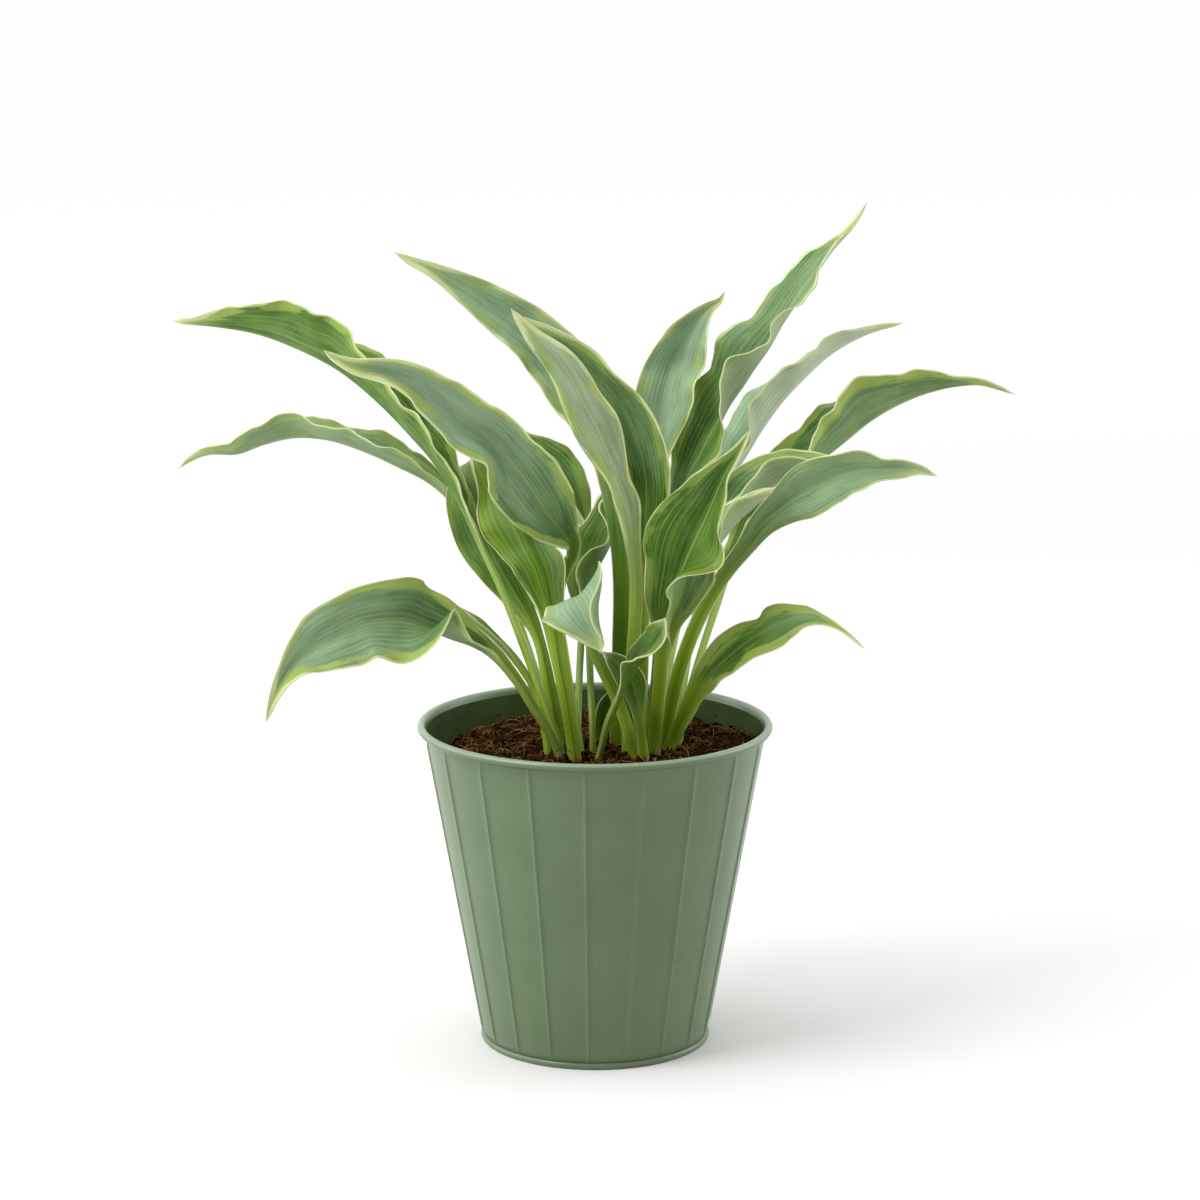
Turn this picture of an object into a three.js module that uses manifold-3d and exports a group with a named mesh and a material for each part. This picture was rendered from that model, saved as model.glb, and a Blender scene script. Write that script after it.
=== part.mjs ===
// A hosta in a ribbed sheet-metal pot. Millimetres, +Z up. The origin is the middle of the pot's flat base, and the
// view that the leaves were placed in looks along +Y, with +X to its right.
import * as THREE from 'three';
import Module from 'manifold-3d';

const wasm = await Module();
wasm.setup();

// Driving dimensions of the pot
const POT_HEIGHT = 170.2;
const POT_MOUTH_RADIUS = 89.5;
const POT_FOOT_RADIUS = 58.8;
const SHEET = 1.2;
const RIM_BEAD_OUT = 3;
const RIM_BEAD_TALL = 4;
const HEM_OUT = 1.2;
const HEM_TALL = 3.5;
const RIB_COUNT = 19;
const RIB_WIDTH = 2.4;
const RIB_HEIGHT = 0.8;
const FRONT_RIB_TURN = -3.1;
const BASE_THICK = 1.2;
const GAP = 0.3;

// Driving dimensions of the soil
const SOIL_LEVEL = 155.5;
const SOIL_RINGS = 9;
const SOIL_SIDES = 36;
const HOLE_GAP = 0.45;
const HOLE_BELOW_FOOT = 1.5;
const HOLE_TOP = 163;

// Driving dimensions of the leaves
const EYE = new THREE.Vector3(2.6, -1858, 620.5);
const EYE_DIP = THREE.MathUtils.degToRad(11.73);
const RIB_THICK = 1.5;
const MARGIN_THICK = 0.75;
const STALK_THICK = 3;
const STALK_MARGIN_THICK = 1.6;
const STALK_HALF_WIDTH = 4.6;
const BLADE_STEP = 8;
const STALK_STEP = 24;
const HALF_COLUMNS = 2;
const MARGIN_CURL = -14;
const WAVE_HEIGHT = 0.085;
const WAVE_LENGTH = 31;

const potPaint = new THREE.MeshStandardMaterial({ color: 0x8fa58c, roughness: 0.45, metalness: 0.1 });
const coir = new THREE.MeshStandardMaterial({ color: 0x4a3019, roughness: 0.95, metalness: 0 });
const leafGreen = new THREE.MeshStandardMaterial({ color: 0x7d9f7a, roughness: 0.55, metalness: 0 });

// Each row of a leaf is one station of its midrib, from below the soil to the tip:
//   [across, up, depth, half width, left angle, right angle, left curl, right curl]
// Across and up are where the midrib shows in the upright plane through the pot's axis, and depth pushes the
// station away from the eye along its line of sight (minus: nearer). The angles turn each half of the blade round the
// midrib: 0 points to the left of the leaf's growth as the eye sees it, 90 at the eye, 180 to the right. The upper
// face lies between the left and the right angle. The curls, where given, roll each half towards the upper face.
const LEAVES = {
  leaf_far_left: [
    [-14, 139, -1.5, 3.6, 120, 240],
    [-15.5, 150, -2.5, 3.7, 120, 240],
    [-26, 181.5, -9, 3.6, 120, 240],
    [-35.3, 208.2, -11, 3.5, 120, 240],
    [-49, 244.5, -11, 3.7, 120, 235],
    [-57.5, 263, -9, 5, 120, 225],
    [-67.4, 282, -6, 8.5, 120, 218],
    [-81, 306, -2, 15, 122, 215],
    [-95.2, 323, 3, 21, 123, 215],
    [-114.6, 342.8, 8, 26, 125, 214],
    [-130.9, 355.8, 12, 27, 143, 220],
    [-150, 366, 15, 26, 153, 220],
    [-172.4, 374.5, 17, 19, 150, 215],
    [-192, 378, 18, 10, 145, 215],
    [-205, 379.3, 18, 4, 145, 215],
    [-215.5, 380, 18, 0.8, 145, 215],
  ],
  leaf_front_left: [
    [-7.5, 139, -7, 3.3, 20, 150],
    [-8.5, 150, -8, 3.4, 20, 150],
    [-12.5, 175, -6.5, 3.3, 30, 150],
    [-17, 205, -4, 3.2, 40, 150],
    [-20, 230, 1, 3.2, 60, 150],
    [-18.6, 243, 2, 3.2, 60, 150],
    [-15, 252, 3, 3.2, 65, 140],
    [-11.4, 258, 4.5, 3.2, 85, 115],
    [-11.5, 263, 3, 4, 90, 120],
    [-15.8, 269.5, -6.5, 8.3, 50, 135],
    [-22.5, 278, -19, 14, 18, 150],
    [-28, 286, -26, 18.5, 10, 152],
    [-35.5, 297.5, -31, 20, 8, 145],
    [-44, 309, -36, 19.5, 40, 138],
    [-52.5, 318.5, -40, 18.5, 55, 128],
    [-67, 329, -45, 17, 42, 138],
    [-79, 339, -47, 15, 45, 135],
    [-90, 347.5, -48, 12.5, 50, 130],
    [-107.5, 354, -49, 8, 50, 130],
    [-124, 357, -49, 4.5, 45, 135],
    [-132, 360.5, -48, 2.4, 45, 135],
    [-138.5, 365, -47, 0.8, 45, 135],
  ],
  leaf_left_inner: [
    [-9.5, 139, -17, 3.3, 195, 335],
    [-10.5, 150, -18, 3.4, 195, 335],
    [-14.5, 178, -20, 3.4, 195, 335],
    [-19.5, 205, -22, 3.6, 195, 340],
    [-23, 230, -23, 7, 195, 345],
    [-25.5, 242, -22, 10.5, 195, 350],
    [-28.7, 253, -19.5, 13.5, 198, 352],
    [-31.2, 258, -17.3, 13.8, 218, 352],
    [-34, 264, -13.5, 16, 236, 352],
    [-38, 275, -9.5, 20.5, 247, 350],
    [-44, 288, -1.5, 19.5, 240, 340],
    [-50, 300, 3.5, 15, 230, 320],
    [-57, 311, 7, 9, 220, 320],
    [-64, 322, 9, 0.8, 220, 320],
  ],
  leaf_mid_left: [
    [-13, 139, 14, 3.4, 120, 240],
    [-15, 150, 14.5, 3.5, 120, 240],
    [-26, 185, 20, 3.4, 120, 240],
    [-38, 222, 28, 3.4, 120, 240],
    [-52, 256, 34, 3.6, 120, 235],
    [-67.4, 281, 38, 5, 125, 220],
    [-76.6, 290.4, 40, 7, 125, 218],
    [-85.8, 297.7, 41, 10, 125, 215],
    [-100.6, 305.5, 43, 15.5, 122, 213],
    [-119.9, 314.3, 46, 16.5, 120, 215],
    [-137.6, 319.8, 48, 15, 125, 225],
    [-154, 320.8, 50, 16, 145, 215],
    [-169.9, 317.3, 52, 12.5, 145, 215],
    [-183.7, 312.4, 54, 8, 145, 215],
    [-199.4, 311.9, 55, 4, 145, 215],
    [-208, 308.5, 56, 2, 145, 215],
    [-214.2, 303.6, 56, 0.8, 145, 215],
  ],
  leaf_left_low: [
    [-14.6, 139, -11, 3.4, 120, 230],
    [-17.2, 150, -11, 3.4, 120, 225],
    [-22.8, 163, -15, 3.5, 120, 215],
    [-31.4, 177, -20, 3.8, 120, 205],
    [-41.2, 193, -26.5, 4.5, 118, 205],
    [-53, 205.5, -32, 7, 115, 200],
    [-63.5, 211.5, -35, 11, 112, 195],
    [-74, 215.5, -38, 17, 118, 190],
    [-84, 218.5, -40, 23, 138, 190],
    [-91, 220.5, -42, 24, 92, 190],
    [-98, 222.5, -44, 24, 48, 175],
    [-107, 223, -46, 23, 30, 155],
    [-119.5, 221.5, -48, 21, 42, 150],
    [-131, 216.5, -50, 20, 30, 152],
    [-143.5, 210, -52, 17, 35, 155],
    [-153, 203.5, -53, 11, 35, 150],
    [-161, 194, -54, 6, 40, 140],
    [-167, 183, -54, 3, 40, 140],
    [-171.5, 169.5, -53, 0.8, 40, 140],
  ],
  leaf_left_low_back: [
    [-22.5, 139, -2, 3, 120, 240],
    [-23.3, 150, -1.5, 3, 120, 240],
    [-26, 170, -1, 3, 120, 240],
    [-29.8, 186, -1.5, 3.2, 120, 235],
    [-37.5, 199, -4, 3.6, 120, 230],
    [-49, 212, -8, 4, 120, 225],
    [-61, 222, -11, 5, 120, 220],
    [-74, 228, -13, 7.5, 120, 220],
    [-88, 230.5, -12, 9.5, 60, 190],
    [-101, 229, -10, 8, 50, 180],
    [-113, 223.5, -9, 4, 50, 180],
    [-121, 217, -8, 0.8, 50, 180],
  ],
  leaf_upper_left: [
    [11.5, 139, 3, 4.2, 30, 150],
    [11.8, 150, 3, 4.4, 30, 150],
    [13, 182, 3, 4.2, 30, 150],
    [13.2, 213, 3, 4, 30, 150],
    [13.8, 240, 3, 4.1, 30, 150],
    [13.2, 260, 3, 4.7, 20, 160],
    [11, 279, 3, 5.3, 20, 160],
    [8.5, 295, 6, 6.2, 20, 160],
    [6, 308, 10, 8, 35, 150],
    [2, 320, 16, 11, 30, 150],
    [-4, 334, 22, 14, 30, 150],
    [-11.5, 346.5, 26, 16, 32, 150],
    [-21, 361.5, 28, 16, 30, 148],
    [-30, 370.5, 26, 15, 35, 145],
    [-39.7, 378.7, 23, 13.5, 35, 145],
    [-54.8, 389, 18, 11, 32, 148],
    [-72.5, 400.5, 12, 6.5, 35, 145],
    [-85, 407, 8, 3.6, 35, 145],
    [-95, 411.3, 6, 2, 35, 145],
    [-101.5, 414.7, 5, 0.8, 35, 145],
  ],
  leaf_upper_left_front: [
    [17.3, 139, -7, 3.4, 205, 335],
    [17.5, 150, -7, 3.5, 205, 335],
    [18.3, 175, -9, 3.4, 205, 335],
    [19.5, 205, -11, 3.2, 205, 335],
    [21, 228, -12, 3.2, 205, 335],
    [21.3, 245, -12, 3.2, 205, 335],
    [20, 260, -12, 3.8, 205, 335],
    [18.7, 272, -12, 5, 210, 335],
    [17, 284.5, -12, 7, 210, 335],
    [12.8, 297, -12, 6.5, 225, 330],
    [8, 309, -12, 10, 215, 330],
    [1.5, 324, -12, 12.5, 205, 335],
    [-5.5, 337, -12, 11.5, 215, 330],
    [-12, 350, -12, 10, 215, 325],
    [-19.5, 361, -12, 8.5, 220, 325],
    [-31, 371.5, -12, 5, 220, 320],
    [-38, 380, -12, 2.4, 220, 320],
    [-42.8, 386.3, -12, 0.8, 220, 320],
  ],
  leaf_centre_tall: [
    [22.5, 139, 4, 3.5, 30, 150],
    [22.8, 150, 4, 3.5, 30, 150],
    [23.5, 175, 4, 3.4, 30, 150],
    [24.3, 205, 4, 3.4, 30, 150],
    [25, 235, 4, 3.4, 30, 150],
    [25, 255, 4, 4.5, 30, 150],
    [25.5, 268, 4, 8, 25, 150],
    [26.3, 281, 4, 12, 25, 145],
    [26.3, 296, 4, 14.5, 25, 140],
    [24, 310, 4, 14.5, 25, 140],
    [20, 324, 4, 14, 25, 143],
    [13, 337, 4, 11.5, 30, 140],
    [4, 348.5, 4, 9.5, 30, 130],
    [-6, 358, 4, 9.5, 30, 145],
    [-16, 366.5, 4, 7.5, 30, 145],
    [-26, 373.5, 4, 5, 30, 145],
    [-34, 379, 4, 2.5, 30, 145],
    [-39, 382.5, 4, 0.8, 30, 145],
  ],
  leaf_back_upright: [
    [14.5, 139, 17, 3.3, 30, 150],
    [15, 150, 18, 3.4, 30, 150],
    [20, 200, 21, 3.3, 30, 150],
    [24.5, 250, 23, 3.2, 30, 150],
    [27, 280, 24, 3.4, 30, 150],
    [29, 300, 24, 5, 30, 150],
    [31, 314, 25, 9, 25, 155],
    [33.5, 327, 26, 13, 20, 145],
    [36.5, 340, 27, 17, 30, 138],
    [39.8, 352, 28, 16, 22, 128],
    [43.5, 363, 29, 14.5, 45, 150],
    [48, 373, 30, 11, 40, 140],
    [53, 381, 31, 6.5, 40, 140],
    [59, 387.3, 32, 3, 40, 140],
    [63.5, 390.3, 32, 1.6, 40, 140],
    [66, 395, 32, 0.7, 40, 140],
  ],
  leaf_tallest: [
    [23, 139, 14, 3.6, -60, 60],
    [24.5, 150, 16, 3.6, -60, 60],
    [29, 185, 27, 3.6, -60, 60],
    [32, 220, 36, 3.4, -60, 60],
    [35.5, 250, 43, 3.6, -60, 60],
    [39, 272, 46, 5, -45, 70],
    [42.5, 287, 47, 9, -35, 80],
    [48, 300, 48, 14, -30, 90],
    [54, 311, 48, 18, -25, 100],
    [61, 325, 48, 21, -25, 100],
    [68, 337, 48, 23, -25, 62],
    [75.6, 348, 48, 25, -25, 50],
    [82, 358.5, 49, 26, -20, 64],
    [88.7, 369, 50, 24, -22, 75],
    [95, 379.5, 51, 20, -38, 74],
    [101.7, 390.4, 52, 18, -36, 88],
    [108, 400, 53, 17, -37, 98],
    [114.7, 409.5, 54, 13, -37, 80],
    [121.5, 418.5, 55, 8, -45, 75],
    [129.2, 427.2, 56, 3.4, -45, 75],
    [134, 434, 56, 1.9, -45, 75],
    [138, 441, 56, 0.8, -45, 75],
  ],
  leaf_right_pale: [
    [29, 139, 9, 3.5, -60, 60],
    [30.5, 150, 10, 3.5, -60, 60],
    [34.5, 180, 20, 3.5, -60, 60],
    [39, 208, 32, 3.5, -60, 60],
    [45, 235, 46, 3.5, -60, 60],
    [52.5, 262, 60, 4, -60, 60],
    [62, 285, 72, 8, -35, 80],
    [72.7, 305, 80, 15, -25, 75],
    [78.5, 314, 82, 18, -20, 66],
    [85.3, 325, 84, 20, -22, 50],
    [95.4, 339.2, 86, 19, -30, 38],
    [107.4, 352.2, 88, 15.5, -50, 55],
    [119.5, 363.3, 90, 13, -45, 45],
    [132.6, 371.4, 92, 7.5, -45, 45],
    [145.2, 376.5, 94, 3, -45, 45],
    [157.3, 378.9, 96, 0.8, -45, 45],
  ],
  leaf_far_right: [
    [36, 139, 10, 3.6, -60, 60],
    [38, 150, 11, 3.6, -60, 60],
    [45, 175, 17, 3.6, -60, 60],
    [52, 200, 23, 3.6, -60, 60],
    [60, 226, 29, 4, -60, 60],
    [68, 248, 34, 7, -50, 65],
    [77, 268, 38, 12, -35, 70],
    [89, 287, 41, 16, -25, 70],
    [104, 301, 44, 20, -20, 60],
    [120, 312.3, 46, 23, -15, 45],
    [130, 320.5, 47, 26, -25, 34],
    [138.7, 327.8, 48, 27, -33, 27],
    [154.3, 337.5, 50, 22, -40, 33],
    [169.4, 343.8, 51, 15.5, -45, 38],
    [185, 347.5, 52, 8, -50, 48],
    [198, 348, 53, 3.4, -50, 48],
    [207, 345.5, 53, 1.9, -50, 48],
    [215, 342, 53, 0.8, -50, 48],
  ],
  leaf_right_broad: [
    [32, 139, -1, 3.7, 30, 150],
    [34.5, 150, -2, 3.7, 30, 150],
    [39.8, 181, -5, 3.6, 30, 150],
    [46, 204.5, -7, 3.5, 30, 150],
    [56, 229.4, -8, 3.6, 30, 150],
    [68, 250, -9, 4, 30, 150],
    [77, 262, -10, 5, 30, 150],
    [87, 275.5, -11, 7.5, 30, 150],
    [98.5, 285, -12, 11, 30, 145],
    [110, 292, -13, 15, 28, 145],
    [120.5, 297.5, -14, 14.5, 30, 142],
    [130, 301.3, -15, 12.5, 40, 140],
    [140, 302.8, -16, 11, 38, 140],
    [148, 303, -17, 7, 45, 135],
    [158, 303.5, -18, 5.5, 40, 140],
    [168, 302.8, -18, 2.5, 40, 140],
    [175.8, 299.8, -18, 0.8, 40, 140],
  ],
  leaf_right_arched: [
    [41, 139, 1, 3.3, -60, 60],
    [42.5, 150, 1, 3.4, -60, 60],
    [44, 180, 4, 3.4, -60, 60],
    [48, 210, 8, 3.5, -60, 60],
    [54, 238, 10, 3.8, -60, 60],
    [60, 256, 11, 5.5, -30, 75],
    [66.7, 270, 11, 12, -15, 65],
    [76.6, 281, 11, 18, -8, 56],
    [86.4, 291.5, 11, 20, -15, 48],
    [100.3, 300.8, 10, 17, -22, 45],
    [110, 305, 10, 11, -30, 52],
    [118.5, 307.8, 9, 5, -30, 52],
    [128, 309, 9, 0.8, -30, 52],
  ],
  leaf_right_small: [
    [25.5, 139, -8, 3.3, -20, 160],
    [26, 150, -9, 3.3, -20, 160],
    [30, 180, -13, 3.2, -20, 160],
    [35.5, 205, -17, 3.2, -20, 160],
    [41, 222, -19, 4, -20, 165],
    [47, 235, -21, 7.5, -20, 165],
    [53, 249, -22, 11, -20, 140],
    [60, 261, -23, 13, -20, 105],
    [67.2, 270, -24, 13.5, -22, 70],
    [72.6, 276.8, -24, 13, -25, 45],
    [80.6, 283.9, -24, 9.5, -30, 35],
    [87.3, 290, -24, 4.5, -30, 35],
    [93.4, 294.2, -24, 0.8, -30, 35],
  ],
  leaf_front_centre: [
    [29, 139, -15, 3.7, 10, 150],
    [30, 150, -15.5, 3.7, 10, 150],
    [33.6, 190, -22, 3.6, 5, 140],
    [35.5, 210, -26, 5, 0, 110],
    [37.3, 223, -28, 10, 0, 80],
    [39.3, 233, -29, 14.5, 0, 72],
    [41.7, 242, -30, 18, 2, 72],
    [45, 250.5, -31, 23, 3, 74],
    [48.5, 259, -31, 25.5, 4, 92],
    [52, 267, -31, 26, 5, 120],
    [56, 275.5, -31, 24, 6, 118],
    [60, 284.5, -31, 20, 10, 100],
    [63.2, 292.5, -31, 16, 15, 96],
    [67, 301, -31, 10, 20, 96],
    [72, 309.5, -31, 5, 20, 100],
    [76, 316.5, -31, 2.6, 20, 100],
    [79.8, 323.7, -31, 0.8, 20, 100],
  ],
  leaf_low_right: [
    [30.5, 139, -6, 3.4, -10, 130],
    [35.2, 150, -7.5, 3.5, -10, 130],
    [38.8, 157, -10, 3.5, -10, 130],
    [42.8, 165.5, -14, 3.6, -5, 130],
    [47.5, 175, -18, 4.2, 5, 140],
    [53.1, 186.8, -22, 5.6, 15, 145],
    [60.8, 196.5, -25, 9.2, 15, 124],
    [69.1, 204.5, -27, 11.5, 10, 118],
    [76.8, 210.8, -29, 11.8, -10, 120],
    [84.5, 216.1, -31, 12, -42, 136],
    [91.3, 220.1, -33, 12.2, -28, 148],
    [99.5, 223.8, -35, 10.5, -30, 148],
    [107.8, 225.9, -36, 7.5, -32, 148],
    [116.6, 224.6, -37, 3.7, -32, 140],
    [125, 221.2, -38, 1.9, -30, 140],
    [132.3, 215.9, -39, 1.2, -30, 140],
    [140.1, 208.7, -40, 0.8, -30, 140],
  ],
  leaf_small_front: [
    [-3, 139, -15, 2.9, -60, 60],
    [0.5, 150, -18, 3, -60, 60],
    [6.8, 173, -28, 3, -55, 60],
    [12.5, 184.5, -33, 3.2, -50, 55],
    [17.3, 193.5, -37, 5.2, -35, 45],
    [21.5, 200, -41, 9.6, -25, 25],
    [27, 206.5, -46, 10.4, -20, 62],
    [32.3, 213, -51, 9.6, -20, 85],
    [35.3, 220, -54, 6.1, -10, 95],
    [36.2, 225.5, -56, 0.8, -10, 95],
  ],
  leaf_centre_twisted: [
    [26.5, 139, -24, 2.5, 30, 150],
    [25.6, 150, -25, 2.5, 30, 150],
    [23.5, 168, -24, 2.5, 30, 150],
    [21.5, 182, -22, 5, 20, 150],
    [19.5, 190.5, -21, 7.5, 30, 150],
    [15, 197.5, -20, 7, 30, 150],
    [9.5, 203, -20, 4.5, 30, 150],
    [3.8, 207.5, -20, 0.8, 30, 150],
  ],
  leaf_nodding: [
    [23, 139, -19, 3, 200, 340],
    [21.4, 150, -19, 3.1, 200, 340],
    [17, 167, -16, 3.1, 200, 340],
    [12.5, 180, -13, 3.1, 200, 340],
    [7, 192, -13, 3.1, 200, 340],
    [1.5, 204, -15, 3.2, 200, 340],
    [-3.5, 216, -19, 3.4, 200, 340],
    [-7.5, 227, -26, 5, 200, 340],
    [-9.5, 234.5, -35, 12, 190, 350, 0, 0],
    [-9, 237, -45, 20, 190, 350, 20, 0],
    [-6.5, 233.5, -53, 24, 190, 350, 70, 5],
    [-4, 227, -57, 20, 200, 345, 110, 5],
    [-1.4, 220, -59, 13, 205, 340, 110, 5],
    [1, 213, -60, 6.5, 205, 340, 60, 0],
    [3, 206.5, -60, 0.8, 205, 340, 0, 0],
  ],
  leaf_back_left: [
    [-7, 139, 6, 3.2, 120, 240],
    [-7.8, 150, 7, 3.2, 120, 240],
    [-7.5, 180, 22, 3.2, 120, 240],
    [-6, 215, 38, 3.2, 120, 240],
    [-4.5, 245, 48, 3.3, 120, 240],
    [-4.5, 264, 52, 4.5, 115, 225],
    [-8, 278.5, 54, 9, 110, 215],
    [-14, 289, 56, 14, 107, 200],
    [-22, 300, 58, 19, 105, 198],
    [-31.5, 310.5, 60, 16, 108, 205],
    [-41, 320, 62, 8, 108, 205],
    [-50, 328, 64, 0.8, 108, 205],
  ],
  leaf_back_middle: [
    [-2.2, 139, -8, 2.7, -60, 60],
    [-2.2, 150, -8.5, 2.7, -60, 60],
    [-2.6, 172, -6, 2.8, -60, 60],
    [-3.4, 188, 2, 2.9, -60, 60],
    [-3.8, 200, 8, 3, -60, 60],
    [-4, 225, 20, 4, -40, 50],
    [-3.1, 238, 25, 12, -15, 45],
    [-1.5, 247, 27, 16, -12, 48],
    [2.6, 256, 30, 18, -15, 60],
    [7.5, 267, 32, 19, -12, 72],
    [11, 278, 34, 17, -20, 50],
    [12.5, 288, 35, 13.5, -25, 35],
    [11.5, 296, 35, 6, -25, 35],
    [8, 302, 35, 0.8, -25, 35],
  ],
  leaf_back_far_left: [
    [-17.5, 139, 5, 3.3, 200, 330],
    [-18.5, 150, 5, 3.3, 200, 330],
    [-24, 190, 9, 3.3, 200, 330],
    [-31, 219, 15, 3.4, 200, 330],
    [-36, 229, 18, 5.5, 195, 335],
    [-43, 241, 22, 9, 195, 340],
    [-50, 253, 24, 12, 190, 345],
    [-58, 268, 27, 14, 190, 345],
    [-63, 280, 28, 13, 195, 345],
    [-66, 291, 29, 11, 200, 340],
    [-66.5, 300, 30, 7, 200, 340],
    [-64.5, 308, 31, 0.8, 200, 340],
  ],
  leaf_young: [
    [4.5, 139, 12, 2.8, 60, 180],
    [4, 150, 12, 3, 60, 180],
    [2.8, 168, 11, 3.6, 60, 180],
    [4.2, 178, 10, 4.6, 60, 180],
    [8, 187, 9, 0.8, 60, 180],
  ],
};

// How much further away from the eye than its row says each leaf's tip lies; the rows below it lean less.
const LEAN = {
  leaf_far_left: 40,
  leaf_front_left: -35,
  leaf_mid_left: 50,
  leaf_left_low: -40,
  leaf_upper_left: 60,
  leaf_upper_left_front: -30,
  leaf_centre_tall: -10,
  leaf_back_upright: 60,
  leaf_tallest: 30,
  leaf_right_pale: 50,
  leaf_far_right: 30,
  leaf_right_broad: -30,
  leaf_right_small: -20,
  leaf_front_centre: -35,
  leaf_low_right: -40,
  leaf_small_front: -20,
  leaf_back_left: 40,
  leaf_back_middle: 15,
};

// A leaf that hangs over towards the eye takes its left from this direction instead of from the line of sight.
const LEFT_OF = { leaf_nodding: new THREE.Vector3(-0.85, 0, -0.52) };

const toEye = new THREE.Vector3(0, -Math.cos(EYE_DIP), Math.sin(EYE_DIP));

function place(row, lean) {
  const seen = new THREE.Vector3(row[0], 0, row[1]);
  const scale = 1 + (row[2] + lean) / -EYE.y;
  const point = EYE.clone().addScaledVector(seen.sub(EYE), scale);
  const turns = [row[4], row[5], row[6] ?? MARGIN_CURL, row[7] ?? MARGIN_CURL];
  return [point.x, point.y, point.z, row[3] * scale, ...turns];
}

function placedRows(name) {
  const rows = LEAVES[name];
  const reach = [0, 0];
  for (let i = 2; i < rows.length; i += 1) {
    reach.push(reach[i - 1] + Math.hypot(rows[i][0] - rows[i - 1][0], rows[i][1] - rows[i - 1][1]));
  }
  return rows.map((row, i) => place(row, (LEAN[name] ?? 0) * (reach[i] / reach[rows.length - 1]) ** 1.5));
}

// A smooth curve through rows of numbers, each with its distance along the leaf; the slope at a row weighs the two
// spans beside it by their lengths.
function smoothThrough(rows) {
  const reach = [0];
  for (let i = 1; i < rows.length; i += 1) {
    reach.push(reach[i - 1] + Math.hypot(...[0, 1, 2].map((k) => rows[i][k] - rows[i - 1][k])));
  }
  const slopes = rows.map((row, i) => row.map((value, k) => {
    const before = i > 0 ? (value - rows[i - 1][k]) / (reach[i] - reach[i - 1]) : null;
    const after = i < rows.length - 1 ? (rows[i + 1][k] - value) / (reach[i + 1] - reach[i]) : null;
    if (before === null) return after;
    if (after === null) return before;
    const spanBefore = reach[i] - reach[i - 1];
    const spanAfter = reach[i + 1] - reach[i];
    return (before * spanAfter + after * spanBefore) / (spanBefore + spanAfter);
  }));
  function at(distance) {
    let i = 0;
    while (i < rows.length - 2 && distance > reach[i + 1]) i += 1;
    const span = reach[i + 1] - reach[i];
    const t = (distance - reach[i]) / span;
    const [t2, t3] = [t * t, t * t * t];
    return rows[i].map((value, k) => (2 * t3 - 3 * t2 + 1) * value + (t3 - 2 * t2 + t) * span * slopes[i][k]
      + (3 * t2 - 2 * t3) * rows[i + 1][k] + (t3 - t2) * span * slopes[i + 1][k]);
  }
  return { at, length: reach[rows.length - 1] };
}

// One cross-section: points of the upper and lower face from the left margin over the midrib to the right margin
function section(curve, distance, left, phase, grow) {
  const here = curve.at(distance);
  const ahead = curve.at(Math.min(distance + 0.5, curve.length));
  const behind = curve.at(Math.max(distance - 0.5, 0));
  const rib = new THREE.Vector3(here[0], here[1], here[2]);
  const along = new THREE.Vector3(ahead[0] - behind[0], ahead[1] - behind[1], ahead[2] - behind[2]).normalize();
  const side = left ? left.clone() : toEye.clone().cross(along);
  side.addScaledVector(along, -side.dot(along)).normalize();
  const out = along.clone().cross(side);
  const half = Math.max(here[3], 0.4) + grow;
  const stalk = THREE.MathUtils.clamp(1 - (here[3] - STALK_HALF_WIDTH) / 4, 0, 1);
  const isFoot = 1 - THREE.MathUtils.smoothstep(distance, curve.length * 0.35, curve.length * 0.6);
  const fleshy = stalk * isFoot;
  const wave = half * WAVE_HEIGHT * (1 - fleshy);
  const ribThick = THREE.MathUtils.lerp(RIB_THICK, STALK_THICK, fleshy) * Math.min(1, half / 2.2) + 2 * grow;
  const marginThick = Math.min(ribThick, THREE.MathUtils.lerp(MARGIN_THICK, STALK_MARGIN_THICK, fleshy) + 2 * grow);

  const flat = [];
  for (const [sign, angle, curl] of [[-1, here[4], here[6]], [1, here[5], -here[7]]]) {
    let [x, y] = [0, 0];
    const points = [];
    for (let j = 1; j <= HALF_COLUMNS; j += 1) {
      const turned = THREE.MathUtils.degToRad(angle + curl * (j - 0.5) / HALF_COLUMNS);
      x += Math.cos(turned) * half / HALF_COLUMNS;
      y += Math.sin(turned) * half / HALF_COLUMNS;
      const ripple = wave * (j / HALF_COLUMNS) ** 2
        * Math.sin(2 * Math.PI * distance / WAVE_LENGTH + phase + sign * 1.1);
      const edge = turned - sign * Math.PI / 2;
      points.push([x + Math.cos(edge) * ripple, y + Math.sin(edge) * ripple]);
    }
    if (sign < 0) flat.push(...points.reverse(), [0, 0]);
    else flat.push(...points);
  }

  const faces = { upper: [], lower: [] };
  flat.forEach(([x, y], j) => {
    const [x0, y0] = flat[Math.max(j - 1, 0)];
    const [x1, y1] = flat[Math.min(j + 1, flat.length - 1)];
    const size = Math.hypot(x1 - x0, y1 - y0);
    const [nx, ny] = [-(y1 - y0) / size, (x1 - x0) / size];
    const fromRib = Math.abs(j - HALF_COLUMNS) / HALF_COLUMNS;
    const thick = THREE.MathUtils.lerp(ribThick, marginThick, fromRib ** 0.7);
    const top = [x - nx * grow, y - ny * grow];
    const under = [x + nx * (thick - grow), y + ny * (thick - grow)];
    for (const [face, [a, b]] of [['upper', top], ['lower', under]]) {
      faces[face].push(rib.clone().addScaledVector(side, a).addScaledVector(out, b));
    }
  });
  return faces;
}

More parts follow.
